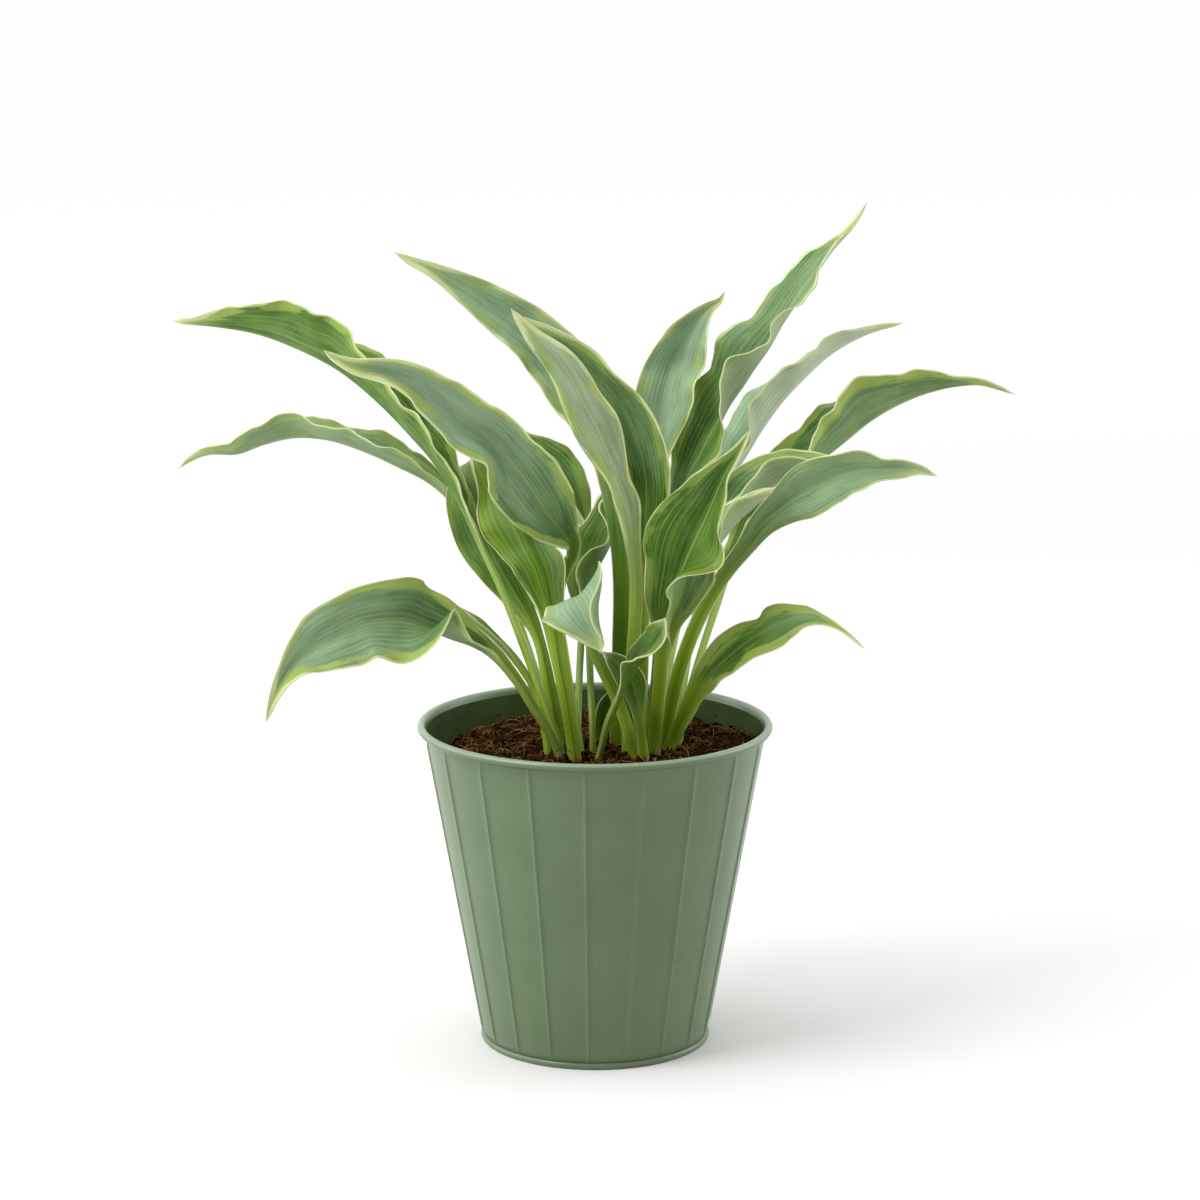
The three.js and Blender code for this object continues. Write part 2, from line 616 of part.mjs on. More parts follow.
function loft(sections) {
  const columns = sections[0].upper.length;
  const positions = [];
  const index = [];
  for (const { upper, lower } of sections) {
    for (const point of [...upper, ...lower]) positions.push(point.x, point.y, point.z);
  }
  const upper = (i, j) => i * 2 * columns + j;
  const lower = (i, j) => i * 2 * columns + columns + j;
  const last = sections.length - 1;
  for (let i = 0; i < last; i += 1) {
    for (let j = 0; j < columns - 1; j += 1) {
      index.push(upper(i, j), upper(i + 1, j + 1), upper(i, j + 1), upper(i, j), upper(i + 1, j), upper(i + 1, j + 1));
      index.push(lower(i, j), lower(i, j + 1), lower(i + 1, j + 1), lower(i, j), lower(i + 1, j + 1), lower(i + 1, j));
    }
    index.push(upper(i, 0), lower(i, 0), lower(i + 1, 0), upper(i, 0), lower(i + 1, 0), upper(i + 1, 0));
    const m = columns - 1;
    index.push(upper(i, m), lower(i + 1, m), lower(i, m), upper(i, m), upper(i + 1, m), lower(i + 1, m));
  }
  for (let j = 0; j < columns - 1; j += 1) {
    index.push(upper(0, j), upper(0, j + 1), lower(0, j + 1), upper(0, j), lower(0, j + 1), lower(0, j));
    const cap = [upper(last, j), lower(last, j + 1), upper(last, j + 1)];
    index.push(...cap, upper(last, j), lower(last, j), lower(last, j + 1));
  }
  return closedGeometry(positions, index);
}

function closedGeometry(positions, index) {
  const geometry = new THREE.BufferGeometry();
  geometry.setAttribute('position', new THREE.Float32BufferAttribute(positions, 3));
  geometry.setIndex(index);
  let volume = 0;
  const corner = (n) => new THREE.Vector3().fromArray(positions, 3 * index[n]);
  for (let n = 0; n < index.length; n += 3) volume += corner(n).dot(corner(n + 1).cross(corner(n + 2)));
  if (volume < 0) {
    for (let n = 0; n < index.length; n += 3) [index[n + 1], index[n + 2]] = [index[n + 2], index[n + 1]];
    geometry.setIndex(index);
  }
  return geometry;
}

// Distances of the cross-sections: long steps on the stalk, short ones where the blade is wide
function stops(curve) {
  const list = [0];
  while (list[list.length - 1] < curve.length) {
    const half = curve.at(list[list.length - 1])[3];
    const blade = THREE.MathUtils.clamp((half - 4.2) / 4, 0, 1);
    const isFoot = list[list.length - 1] < curve.length * 0.4;
    const step = isFoot ? THREE.MathUtils.lerp(STALK_STEP, BLADE_STEP, blade) : BLADE_STEP;
    list.push(list[list.length - 1] + step);
  }
  const stretch = curve.length / list[list.length - 1];
  return list.map((distance) => distance * stretch);
}

function leafShape(name) {
  const curve = smoothThrough(placedRows(name));
  const phase = Object.keys(LEAVES).indexOf(name) * 2.4;
  return loft(stops(curve).map((distance) => section(curve, distance, LEFT_OF[name], phase, 0)));
}

// The hole that a leaf's stalk stands in: the stalk's own shape a little larger, from below its foot to above the soil
function stalkHole(name) {
  const curve = smoothThrough(placedRows(name));
  const distances = stops(curve);
  const clear = distances.findIndex((distance) => curve.at(distance)[2] > HOLE_TOP);
  const sections = distances.slice(0, clear + 1).map((distance) => section(curve, distance, LEFT_OF[name], 0, HOLE_GAP));
  const below = curve.at(0).map((value, k) => (k < 3 ? (value - curve.at(1)[k]) * HOLE_BELOW_FOOT : 0));
  for (const face of ['upper', 'lower']) {
    sections[0][face].forEach((point) => point.add(new THREE.Vector3(below[0], below[1], below[2])));
  }
  return loft(sections);
}

// A closed ring of profiles, one for each angle; every profile runs once round the wall's section
function ringOfProfiles(angles, profileAt) {
  const positions = [];
  const index = [];
  const size = profileAt(angles[0]).length;
  for (const angle of angles) {
    for (const [radius, z] of profileAt(angle)) positions.push(radius * Math.cos(angle), radius * Math.sin(angle), z);
  }
  angles.forEach((angle, i) => {
    const n = (i + 1) % angles.length;
    for (let j = 0; j < size; j += 1) {
      const k = (j + 1) % size;
      index.push(i * size + j, n * size + j, n * size + k, i * size + j, n * size + k, i * size + k);
    }
  });
  return closedGeometry(positions, index);
}

const wallRadius = (z) => POT_FOOT_RADIUS + (POT_MOUTH_RADIUS - POT_FOOT_RADIUS) * z / POT_HEIGHT;

function potWall() {
  const pitch = 2 * Math.PI / RIB_COUNT;
  const front = THREE.MathUtils.degToRad(-90 + FRONT_RIB_TURN);
  const turn = RIB_WIDTH / 2 / POT_MOUTH_RADIUS * 1.25;
  const angles = [];
  const crests = new Set();
  for (let i = 0; i < RIB_COUNT; i += 1) {
    const middle = front + i * pitch;
    angles.push(middle - turn, middle, middle + turn, middle + pitch / 2);
    crests.add(middle);
  }
  const beadLow = POT_HEIGHT - RIM_BEAD_TALL;
  const top = POT_HEIGHT;
  const bead = POT_MOUTH_RADIUS + RIM_BEAD_OUT;
  const inner = (z) => wallRadius(z) - SHEET;
  return ringOfProfiles(angles, (angle) => {
    const rib = crests.has(angle) ? RIB_HEIGHT : 0;
    return [
      [inner(0), 0],
      [wallRadius(0) + HEM_OUT - 0.5, 0],
      [wallRadius(0) + HEM_OUT, 0.8],
      [wallRadius(HEM_TALL) + HEM_OUT - 0.4, HEM_TALL],
      [wallRadius(HEM_TALL + 0.8), HEM_TALL + 0.8],
      [wallRadius(HEM_TALL + 2.6) + rib, HEM_TALL + 2.6],
      [wallRadius(beadLow - 3) + rib, beadLow - 3],
      [wallRadius(beadLow - 1), beadLow - 1],
      [wallRadius(beadLow) + 1, beadLow - 0.3],
      [bead - 0.4, beadLow + 0.7],
      [bead, top - RIM_BEAD_TALL / 2],
      [bead - 0.8, top - 0.6],
      [bead - 2, top],
      [inner(top) + 1, top],
      [inner(top), top - 1],
    ];
  });
}

// A full disc of rings with a flat underside, its side following the pot's inner wall
function filledDisc(radiusAt, bottom, rings, sides, heightAt) {
  const positions = [0, 0, bottom, 0, 0, heightAt(0, 0)];
  const index = [];
  const at = (ring, side) => 2 + ring * sides + (side % sides);
  for (let ring = 0; ring <= rings; ring += 1) {
    for (let side = 0; side < sides; side += 1) {
      const angle = side / sides * 2 * Math.PI;
      const under = ring === rings;
      const radius = under ? radiusAt(bottom) : radiusAt(heightAt(1, angle)) * (ring + 1) / rings;
      const z = under ? bottom : heightAt((ring + 1) / rings, angle);
      positions.push(radius * Math.cos(angle), radius * Math.sin(angle), z);
    }
  }
  for (let side = 0; side < sides; side += 1) {
    index.push(1, at(0, side), at(0, side + 1), 0, at(rings, side + 1), at(rings, side));
    for (let ring = 0; ring < rings; ring += 1) {
      index.push(at(ring, side), at(ring + 1, side), at(ring + 1, side + 1));
      index.push(at(ring, side), at(ring + 1, side + 1), at(ring, side + 1));
    }
  }
  return closedGeometry(positions, index);
}

function soilHeight(part, angle) {
  const across = part * Math.cos(angle);
  const away = part * Math.sin(angle);
  const lumps = Math.sin(7 * across + 2) * Math.cos(6 * away) + 0.6 * Math.sin(13 * away + 5 * across);
  const slope = 5.2 * across + 2.5 * away - 4.5 * across * away;
  return SOIL_LEVEL + slope + 0.6 * lumps - 3.2 * part ** 2;
}

function asSolid(geometry) {
  const vertProperties = new Float32Array(geometry.getAttribute('position').array);
  const triVerts = new Uint32Array(geometry.getIndex().array);
  const mesh = new wasm.Mesh({ numProp: 3, vertProperties, triVerts });
  mesh.merge();
  return new wasm.Manifold(mesh);
}

function asGeometry(solid) {
  const { vertProperties, triVerts } = solid.getMesh();
  return closedGeometry([...vertProperties], [...triVerts]);
}

function soilShape() {
  const radiusAt = (z) => wallRadius(z) - SHEET - 2 * GAP;
  let soil = asSolid(filledDisc(radiusAt, BASE_THICK + GAP, SOIL_RINGS, SOIL_SIDES, soilHeight));
  for (const name of Object.keys(LEAVES)) soil = soil.subtract(asSolid(stalkHole(name)));
  return asGeometry(soil);
}

function named(name, geometry, material) {
  const mesh = new THREE.Mesh(geometry, material);
  mesh.name = name;
  return mesh;
}

const plant = new THREE.Group();
plant.name = 'potted_hosta';
plant.add(named('pot_wall', potWall(), potPaint));
const baseRadius = wallRadius(0) - SHEET - GAP;
plant.add(named('pot_base', filledDisc(() => baseRadius, 0, 1, 48, () => BASE_THICK), potPaint));
plant.add(named('soil', soilShape(), coir));
for (const name of Object.keys(LEAVES)) plant.add(named(name, leafShape(name), leafGreen));

export default plant;
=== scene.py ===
"""Look of the potted hosta: leaves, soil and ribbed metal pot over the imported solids. Metres, +Z up."""
import math

import bmesh
import bpy
import numpy as np
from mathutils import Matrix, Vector, noise


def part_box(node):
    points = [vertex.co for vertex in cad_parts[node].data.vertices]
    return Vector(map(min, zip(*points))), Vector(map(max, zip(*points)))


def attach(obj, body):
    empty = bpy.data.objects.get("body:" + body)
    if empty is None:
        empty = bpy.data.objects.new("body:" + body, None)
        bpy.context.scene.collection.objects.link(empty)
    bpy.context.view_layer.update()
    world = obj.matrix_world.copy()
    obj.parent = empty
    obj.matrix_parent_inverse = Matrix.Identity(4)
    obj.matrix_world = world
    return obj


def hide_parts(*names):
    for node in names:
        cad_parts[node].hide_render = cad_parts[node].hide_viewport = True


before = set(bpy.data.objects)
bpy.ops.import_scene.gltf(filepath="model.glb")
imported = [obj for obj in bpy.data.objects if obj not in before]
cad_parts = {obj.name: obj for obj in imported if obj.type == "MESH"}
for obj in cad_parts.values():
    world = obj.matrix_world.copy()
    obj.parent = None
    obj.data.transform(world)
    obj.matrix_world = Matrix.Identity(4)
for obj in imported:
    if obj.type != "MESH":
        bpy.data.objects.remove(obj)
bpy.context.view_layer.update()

# The view that the leaves were placed in, in millimetres and radians
EYE = np.array([2.6, -1858.0, 620.5])
EYE_DIP = math.radians(11.73)
LENS_MM = 110
SENSOR_MM = 36

# Leaf sizes in millimetres and degrees, as in the solids, with finer steps. WAVE_HEIGHT is a share of the
# half width.
RIB_THICK = 1.5
MARGIN_THICK = 0.75
STALK_THICK = 3.0
STALK_MARGIN_THICK = 1.6
STALK_HALF_WIDTH = 4.6
LEAST_HALF_WIDTH = 0.4
THIN_HALF_WIDTH = 2.2
BLADE_WIDENS = 4
BLADE_STEP = 2.0
STALK_STEP = 5.0
LONG_STEP_HALF_WIDTH = 4.2
HALF_COLUMNS = 10
MARGIN_CURL = -14
WAVE_HEIGHT = 0.085
WAVE_LENGTH = 31
WAVE_SHIFT = 1.1

# Shares of a leaf's length: where long steps end, and where its fleshy stalk starts and ends to turn flat
FOOT_SHARE = 0.4
FLESHY_ENDS = (0.35, 0.6)

# Look only: the sharper tip, the rounding of the midrib's fold as a share of the half width, the margin's
# small waves and the puckers between the veins
TIP_TAPER = 6.0
TIP_SHARE = 0.2
BLADE_FOLD = 0.16
STALK_FOLD = 0.75
SMALL_WAVE_HEIGHT = 0.3
SMALL_WAVE_LENGTH = 0.41 * WAVE_LENGTH
PUCKER_HEIGHT = 0.42
PUCKER_LENGTHS = (6.5, 10)
PUCKER_SLANTS = (3.1, 4.3)
PUCKER_HALF_WIDTH = 15

# What sets one leaf's waves and streaks apart from the next one's
PHASE_STEP = 2.4
SEED_STEP = 0.618

# The leaves, by their nodes' names without leaf_. Each row is one station of the midrib, from below the soil
# to the tip: across, up, depth and half width, left and right angle where they change, and left and right
# curl where they aren't MARGIN_CURL. Across and up are where the eye sees the station in the upright plane
# through the pot's axis, and depth pushes it away from the eye. The angles turn each half of the blade round
# the midrib: 0 is to the left of the leaf's growth, 90 at the eye and 180 to the right.
LEAVES = {
    "far_left": [
        (-14, 139, -1.5, 3.6, 120, 240), (-15.5, 150, -2.5, 3.7), (-26, 181.5, -9, 3.6),
        (-35.3, 208.2, -11, 3.5), (-49, 244.5, -11, 3.7, 120, 235), (-57.5, 263, -9, 5, 120, 225),
        (-67.4, 282, -6, 8.5, 120, 218), (-81, 306, -2, 15, 122, 215), (-95.2, 323, 3, 21, 123, 215),
        (-114.6, 342.8, 8, 26, 125, 214), (-130.9, 355.8, 12, 27, 143, 220), (-150, 366, 15, 26, 153, 220),
        (-172.4, 374.5, 17, 19, 150, 215), (-192, 378, 18, 10, 145, 215), (-205, 379.3, 18, 4),
        (-215.5, 380, 18, 0.8),
    ],
    "front_left": [
        (-7.5, 139, -7, 3.3, 20, 150), (-8.5, 150, -8, 3.4), (-12.5, 175, -6.5, 3.3, 30, 150),
        (-17, 205, -4, 3.2, 40, 150), (-20, 230, 1, 3.2, 60, 150), (-18.6, 243, 2, 3.2),
        (-15, 252, 3, 3.2, 65, 140), (-11.4, 258, 4.5, 3.2, 85, 115), (-11.5, 263, 3, 4, 90, 120),
        (-15.8, 269.5, -6.5, 8.3, 50, 135), (-22.5, 278, -19, 14, 18, 150), (-28, 286, -26, 18.5, 10, 152),
        (-35.5, 297.5, -31, 20, 8, 145), (-44, 309, -36, 19.5, 40, 138), (-52.5, 318.5, -40, 18.5, 55, 128),
        (-67, 329, -45, 17, 42, 138), (-79, 339, -47, 15, 45, 135), (-90, 347.5, -48, 12.5, 50, 130),
        (-107.5, 354, -49, 8), (-124, 357, -49, 4.5, 45, 135), (-132, 360.5, -48, 2.4),
        (-138.5, 365, -47, 0.8),
    ],
    "left_inner": [
        (-9.5, 139, -17, 3.3, 195, 335), (-10.5, 150, -18, 3.4), (-14.5, 178, -20, 3.4),
        (-19.5, 205, -22, 3.6, 195, 340), (-23, 230, -23, 7, 195, 345), (-25.5, 242, -22, 10.5, 195, 350),
        (-28.7, 253, -19.5, 13.5, 198, 352), (-31.2, 258, -17.3, 13.8, 218, 352),
        (-34, 264, -13.5, 16, 236, 352), (-38, 275, -9.5, 20.5, 247, 350), (-44, 288, -1.5, 19.5, 240, 340),
        (-50, 300, 3.5, 15, 230, 320), (-57, 311, 7, 9, 220, 320), (-64, 322, 9, 0.8),
    ],
    "mid_left": [
        (-13, 139, 14, 3.4, 120, 240), (-15, 150, 14.5, 3.5), (-26, 185, 20, 3.4), (-38, 222, 28, 3.4),
        (-52, 256, 34, 3.6, 120, 235), (-67.4, 281, 38, 5, 125, 220), (-76.6, 290.4, 40, 7, 125, 218),
        (-85.8, 297.7, 41, 10, 125, 215), (-100.6, 305.5, 43, 15.5, 122, 213),
        (-119.9, 314.3, 46, 16.5, 120, 215), (-137.6, 319.8, 48, 15, 125, 225),
        (-154, 320.8, 50, 16, 145, 215), (-169.9, 317.3, 52, 12.5), (-183.7, 312.4, 54, 8),
        (-199.4, 311.9, 55, 4), (-208, 308.5, 56, 2), (-214.2, 303.6, 56, 0.8),
    ],
    "left_low": [
        (-14.6, 139, -11, 3.4, 120, 230), (-17.2, 150, -11, 3.4, 120, 225),
        (-22.8, 163, -15, 3.5, 120, 215), (-31.4, 177, -20, 3.8, 120, 205),
        (-41.2, 193, -26.5, 4.5, 118, 205), (-53, 205.5, -32, 7, 115, 200),
        (-63.5, 211.5, -35, 11, 112, 195), (-74, 215.5, -38, 17, 118, 190), (-84, 218.5, -40, 23, 138, 190),
        (-91, 220.5, -42, 24, 92, 190), (-98, 222.5, -44, 24, 48, 175), (-107, 223, -46, 23, 30, 155),
        (-119.5, 221.5, -48, 21, 42, 150), (-131, 216.5, -50, 20, 30, 152), (-143.5, 210, -52, 17, 35, 155),
        (-153, 203.5, -53, 11, 35, 150), (-161, 194, -54, 6, 40, 140), (-167, 183, -54, 3),
        (-171.5, 169.5, -53, 0.8),
    ],
    "left_low_back": [
        (-22.5, 139, -2, 3, 120, 240), (-23.3, 150, -1.5, 3), (-26, 170, -1, 3),
        (-29.8, 186, -1.5, 3.2, 120, 235), (-37.5, 199, -4, 3.6, 120, 230), (-49, 212, -8, 4, 120, 225),
        (-61, 222, -11, 5, 120, 220), (-74, 228, -13, 7.5), (-88, 230.5, -12, 9.5, 60, 190),
        (-101, 229, -10, 8, 50, 180), (-113, 223.5, -9, 4), (-121, 217, -8, 0.8),
    ],
    "upper_left": [
        (11.5, 139, 3, 4.2, 30, 150), (11.8, 150, 3, 4.4), (13, 182, 3, 4.2), (13.2, 213, 3, 4),
        (13.8, 240, 3, 4.1), (13.2, 260, 3, 4.7, 20, 160), (11, 279, 3, 5.3), (8.5, 295, 6, 6.2),
        (6, 308, 10, 8, 35, 150), (2, 320, 16, 11, 30, 150), (-4, 334, 22, 14),
        (-11.5, 346.5, 26, 16, 32, 150), (-21, 361.5, 28, 16, 30, 148), (-30, 370.5, 26, 15, 35, 145),
        (-39.7, 378.7, 23, 13.5), (-54.8, 389, 18, 11, 32, 148), (-72.5, 400.5, 12, 6.5, 35, 145),
        (-85, 407, 8, 3.6), (-95, 411.3, 6, 2), (-101.5, 414.7, 5, 0.8),
    ],
    "upper_left_front": [
        (17.3, 139, -7, 3.4, 205, 335), (17.5, 150, -7, 3.5), (18.3, 175, -9, 3.4), (19.5, 205, -11, 3.2),
        (21, 228, -12, 3.2), (21.3, 245, -12, 3.2), (20, 260, -12, 3.8), (18.7, 272, -12, 5, 210, 335),
        (17, 284.5, -12, 7), (12.8, 297, -12, 6.5, 225, 330), (8, 309, -12, 10, 215, 330),
        (1.5, 324, -12, 12.5, 205, 335), (-5.5, 337, -12, 11.5, 215, 330), (-12, 350, -12, 10, 215, 325),
        (-19.5, 361, -12, 8.5, 220, 325), (-31, 371.5, -12, 5, 220, 320), (-38, 380, -12, 2.4),
        (-42.8, 386.3, -12, 0.8),
    ],
    "centre_tall": [
        (22.5, 139, 4, 3.5, 30, 150), (22.8, 150, 4, 3.5), (23.5, 175, 4, 3.4), (24.3, 205, 4, 3.4),
        (25, 235, 4, 3.4), (25, 255, 4, 4.5), (25.5, 268, 4, 8, 25, 150), (26.3, 281, 4, 12, 25, 145),
        (26.3, 296, 4, 14.5, 25, 140), (24, 310, 4, 14.5), (20, 324, 4, 14, 25, 143),
        (13, 337, 4, 11.5, 30, 140), (4, 348.5, 4, 9.5, 30, 130), (-6, 358, 4, 9.5, 30, 145),
        (-16, 366.5, 4, 7.5), (-26, 373.5, 4, 5), (-34, 379, 4, 2.5), (-39, 382.5, 4, 0.8),
    ],
    "back_upright": [
        (14.5, 139, 17, 3.3, 30, 150), (15, 150, 18, 3.4), (20, 200, 21, 3.3), (24.5, 250, 23, 3.2),
        (27, 280, 24, 3.4), (29, 300, 24, 5), (31, 314, 25, 9, 25, 155), (33.5, 327, 26, 13, 20, 145),
        (36.5, 340, 27, 17, 30, 138), (39.8, 352, 28, 16, 22, 128), (43.5, 363, 29, 14.5, 45, 150),
        (48, 373, 30, 11, 40, 140), (53, 381, 31, 6.5), (59, 387.3, 32, 3), (63.5, 390.3, 32, 1.6),
        (66, 395, 32, 0.7),
    ],
    "tallest": [
        (23, 139, 14, 3.6, -60, 60), (24.5, 150, 16, 3.6), (29, 185, 27, 3.6), (32, 220, 36, 3.4),
        (35.5, 250, 43, 3.6), (39, 272, 46, 5, -45, 70), (42.5, 287, 47, 9, -35, 80),
        (48, 300, 48, 14, -30, 90), (54, 311, 48, 18, -25, 100), (61, 325, 48, 21),
        (68, 337, 48, 23, -25, 62), (75.6, 348, 48, 25, -25, 50), (82, 358.5, 49, 26, -20, 64),
        (88.7, 369, 50, 24, -22, 75), (95, 379.5, 51, 20, -38, 74), (101.7, 390.4, 52, 18, -36, 88),
        (108, 400, 53, 17, -37, 98), (114.7, 409.5, 54, 13, -37, 80), (121.5, 418.5, 55, 8, -45, 75),
        (129.2, 427.2, 56, 3.4), (134, 434, 56, 1.9), (138, 441, 56, 0.8),
    ],
    "right_pale": [
        (29, 139, 9, 3.5, -60, 60), (30.5, 150, 10, 3.5), (34.5, 180, 20, 3.5), (39, 208, 32, 3.5),
        (45, 235, 46, 3.5), (52.5, 262, 60, 4), (62, 285, 72, 8, -35, 80), (72.7, 305, 80, 15, -25, 75),
        (78.5, 314, 82, 18, -20, 66), (85.3, 325, 84, 20, -22, 50), (95.4, 339.2, 86, 19, -30, 38),
        (107.4, 352.2, 88, 15.5, -50, 55), (119.5, 363.3, 90, 13, -45, 45), (132.6, 371.4, 92, 7.5),
        (145.2, 376.5, 94, 3), (157.3, 378.9, 96, 0.8),
    ],
    "far_right": [
        (36, 139, 10, 3.6, -60, 60), (38, 150, 11, 3.6), (45, 175, 17, 3.6), (52, 200, 23, 3.6),
        (60, 226, 29, 4), (68, 248, 34, 7, -50, 65), (77, 268, 38, 12, -35, 70), (89, 287, 41, 16, -25, 70),
        (104, 301, 44, 20, -20, 60), (120, 312.3, 46, 23, -15, 45), (130, 320.5, 47, 26, -25, 34),
        (138.7, 327.8, 48, 27, -33, 27), (154.3, 337.5, 50, 22, -40, 33), (169.4, 343.8, 51, 15.5, -45, 38),
        (185, 347.5, 52, 8, -50, 48), (198, 348, 53, 3.4), (207, 345.5, 53, 1.9), (215, 342, 53, 0.8),
    ],
    "right_broad": [
        (32, 139, -1, 3.7, 30, 150), (34.5, 150, -2, 3.7), (39.8, 181, -5, 3.6), (46, 204.5, -7, 3.5),
        (56, 229.4, -8, 3.6), (68, 250, -9, 4), (77, 262, -10, 5), (87, 275.5, -11, 7.5),
        (98.5, 285, -12, 11, 30, 145), (110, 292, -13, 15, 28, 145), (120.5, 297.5, -14, 14.5, 30, 142),
        (130, 301.3, -15, 12.5, 40, 140), (140, 302.8, -16, 11, 38, 140), (148, 303, -17, 7, 45, 135),
        (158, 303.5, -18, 5.5, 40, 140), (168, 302.8, -18, 2.5), (175.8, 299.8, -18, 0.8),
    ],
    "right_arched": [
        (41, 139, 1, 3.3, -60, 60), (42.5, 150, 1, 3.4), (44, 180, 4, 3.4), (48, 210, 8, 3.5),
        (54, 238, 10, 3.8), (60, 256, 11, 5.5, -30, 75), (66.7, 270, 11, 12, -15, 65),
        (76.6, 281, 11, 18, -8, 56), (86.4, 291.5, 11, 20, -15, 48), (100.3, 300.8, 10, 17, -22, 45),
        (110, 305, 10, 11, -30, 52), (118.5, 307.8, 9, 5), (128, 309, 9, 0.8),
    ],
    "right_small": [
        (25.5, 139, -8, 3.3, -20, 160), (26, 150, -9, 3.3), (30, 180, -13, 3.2), (35.5, 205, -17, 3.2),
        (41, 222, -19, 4, -20, 165), (47, 235, -21, 7.5), (53, 249, -22, 11, -20, 140),
        (60, 261, -23, 13, -20, 105), (67.2, 270, -24, 13.5, -22, 70), (72.6, 276.8, -24, 13, -25, 45),
        (80.6, 283.9, -24, 9.5, -30, 35), (87.3, 290, -24, 4.5), (93.4, 294.2, -24, 0.8),
    ],
    "front_centre": [
        (29, 139, -15, 3.7, 10, 150), (30, 150, -15.5, 3.7), (33.6, 190, -22, 3.6, 5, 140),
        (35.5, 210, -26, 5, 0, 110), (37.3, 223, -28, 10, 0, 80), (39.3, 233, -29, 14.5, 0, 72),
        (41.7, 242, -30, 18, 2, 72), (45, 250.5, -31, 23, 3, 74), (48.5, 259, -31, 25.5, 4, 92),
        (52, 267, -31, 26, 5, 120), (56, 275.5, -31, 24, 6, 118), (60, 284.5, -31, 20, 10, 100),
        (63.2, 292.5, -31, 16, 15, 96), (67, 301, -31, 10, 20, 96), (72, 309.5, -31, 5, 20, 100),
        (76, 316.5, -31, 2.6), (79.8, 323.7, -31, 0.8),
    ],
    "low_right": [
        (30.5, 139, -6, 3.4, -10, 130), (35.2, 150, -7.5, 3.5), (38.8, 157, -10, 3.5),
        (42.8, 165.5, -14, 3.6, -5, 130), (47.5, 175, -18, 4.2, 5, 140), (53.1, 186.8, -22, 5.6, 15, 145),
        (60.8, 196.5, -25, 9.2, 15, 124), (69.1, 204.5, -27, 11.5, 10, 118),
        (76.8, 210.8, -29, 11.8, -10, 120), (84.5, 216.1, -31, 12, -42, 136),
        (91.3, 220.1, -33, 12.2, -28, 148), (99.5, 223.8, -35, 10.5, -30, 148),
        (107.8, 225.9, -36, 7.5, -32, 148), (116.6, 224.6, -37, 3.7, -32, 140),
        (125, 221.2, -38, 1.9, -30, 140), (132.3, 215.9, -39, 1.2), (140.1, 208.7, -40, 0.8),
    ],
    "small_front": [
        (-3, 139, -15, 2.9, -60, 60), (0.5, 150, -18, 3), (6.8, 173, -28, 3, -55, 60),
        (12.5, 184.5, -33, 3.2, -50, 55), (17.3, 193.5, -37, 5.2, -35, 45), (21.5, 200, -41, 9.6, -25, 25),
        (27, 206.5, -46, 10.4, -20, 62), (32.3, 213, -51, 9.6, -20, 85), (35.3, 220, -54, 6.1, -10, 95),
        (36.2, 225.5, -56, 0.8),
    ],
    "centre_twisted": [
        (26.5, 139, -24, 2.5, 30, 150), (25.6, 150, -25, 2.5), (23.5, 168, -24, 2.5),
        (21.5, 182, -22, 5, 20, 150), (19.5, 190.5, -21, 7.5, 30, 150), (15, 197.5, -20, 7),
        (9.5, 203, -20, 4.5), (3.8, 207.5, -20, 0.8),
    ],
    "nodding": [
        (23, 139, -19, 3, 200, 340), (21.4, 150, -19, 3.1), (17, 167, -16, 3.1), (12.5, 180, -13, 3.1),
        (7, 192, -13, 3.1), (1.5, 204, -15, 3.2), (-3.5, 216, -19, 3.4), (-7.5, 227, -26, 5),
        (-9.5, 234.5, -35, 12, 190, 350, 0, 0), (-9, 237, -45, 20, 190, 350, 20, 0),
        (-6.5, 233.5, -53, 24, 190, 350, 70, 5), (-4, 227, -57, 20, 200, 345, 110, 5),
        (-1.4, 220, -59, 13, 205, 340, 110, 5), (1, 213, -60, 6.5, 205, 340, 60, 0),
        (3, 206.5, -60, 0.8, 205, 340, 0, 0),
    ],
    "back_left": [
        (-7, 139, 6, 3.2, 120, 240), (-7.8, 150, 7, 3.2), (-7.5, 180, 22, 3.2), (-6, 215, 38, 3.2),
        (-4.5, 245, 48, 3.3), (-4.5, 264, 52, 4.5, 115, 225), (-8, 278.5, 54, 9, 110, 215),
        (-14, 289, 56, 14, 107, 200), (-22, 300, 58, 19, 105, 198), (-31.5, 310.5, 60, 16, 108, 205),
        (-41, 320, 62, 8), (-50, 328, 64, 0.8),
    ],
    "back_middle": [
        (-2.2, 139, -8, 2.7, -60, 60), (-2.2, 150, -8.5, 2.7), (-2.6, 172, -6, 2.8), (-3.4, 188, 2, 2.9),
        (-3.8, 200, 8, 3), (-4, 225, 20, 4, -40, 50), (-3.1, 238, 25, 12, -15, 45),
        (-1.5, 247, 27, 16, -12, 48), (2.6, 256, 30, 18, -15, 60), (7.5, 267, 32, 19, -12, 72),
        (11, 278, 34, 17, -20, 50), (12.5, 288, 35, 13.5, -25, 35), (11.5, 296, 35, 6), (8, 302, 35, 0.8),
    ],
    "back_far_left": [
        (-17.5, 139, 5, 3.3, 200, 330), (-18.5, 150, 5, 3.3), (-24, 190, 9, 3.3), (-31, 219, 15, 3.4),
        (-36, 229, 18, 5.5, 195, 335), (-43, 241, 22, 9, 195, 340), (-50, 253, 24, 12, 190, 345),
        (-58, 268, 27, 14), (-63, 280, 28, 13, 195, 345), (-66, 291, 29, 11, 200, 340), (-66.5, 300, 30, 7),
        (-64.5, 308, 31, 0.8),
    ],
    "young": [
        (4.5, 139, 12, 2.8, 60, 180), (4, 150, 12, 3), (2.8, 168, 11, 3.6), (4.2, 178, 10, 4.6),
        (8, 187, 9, 0.8),
    ],
}

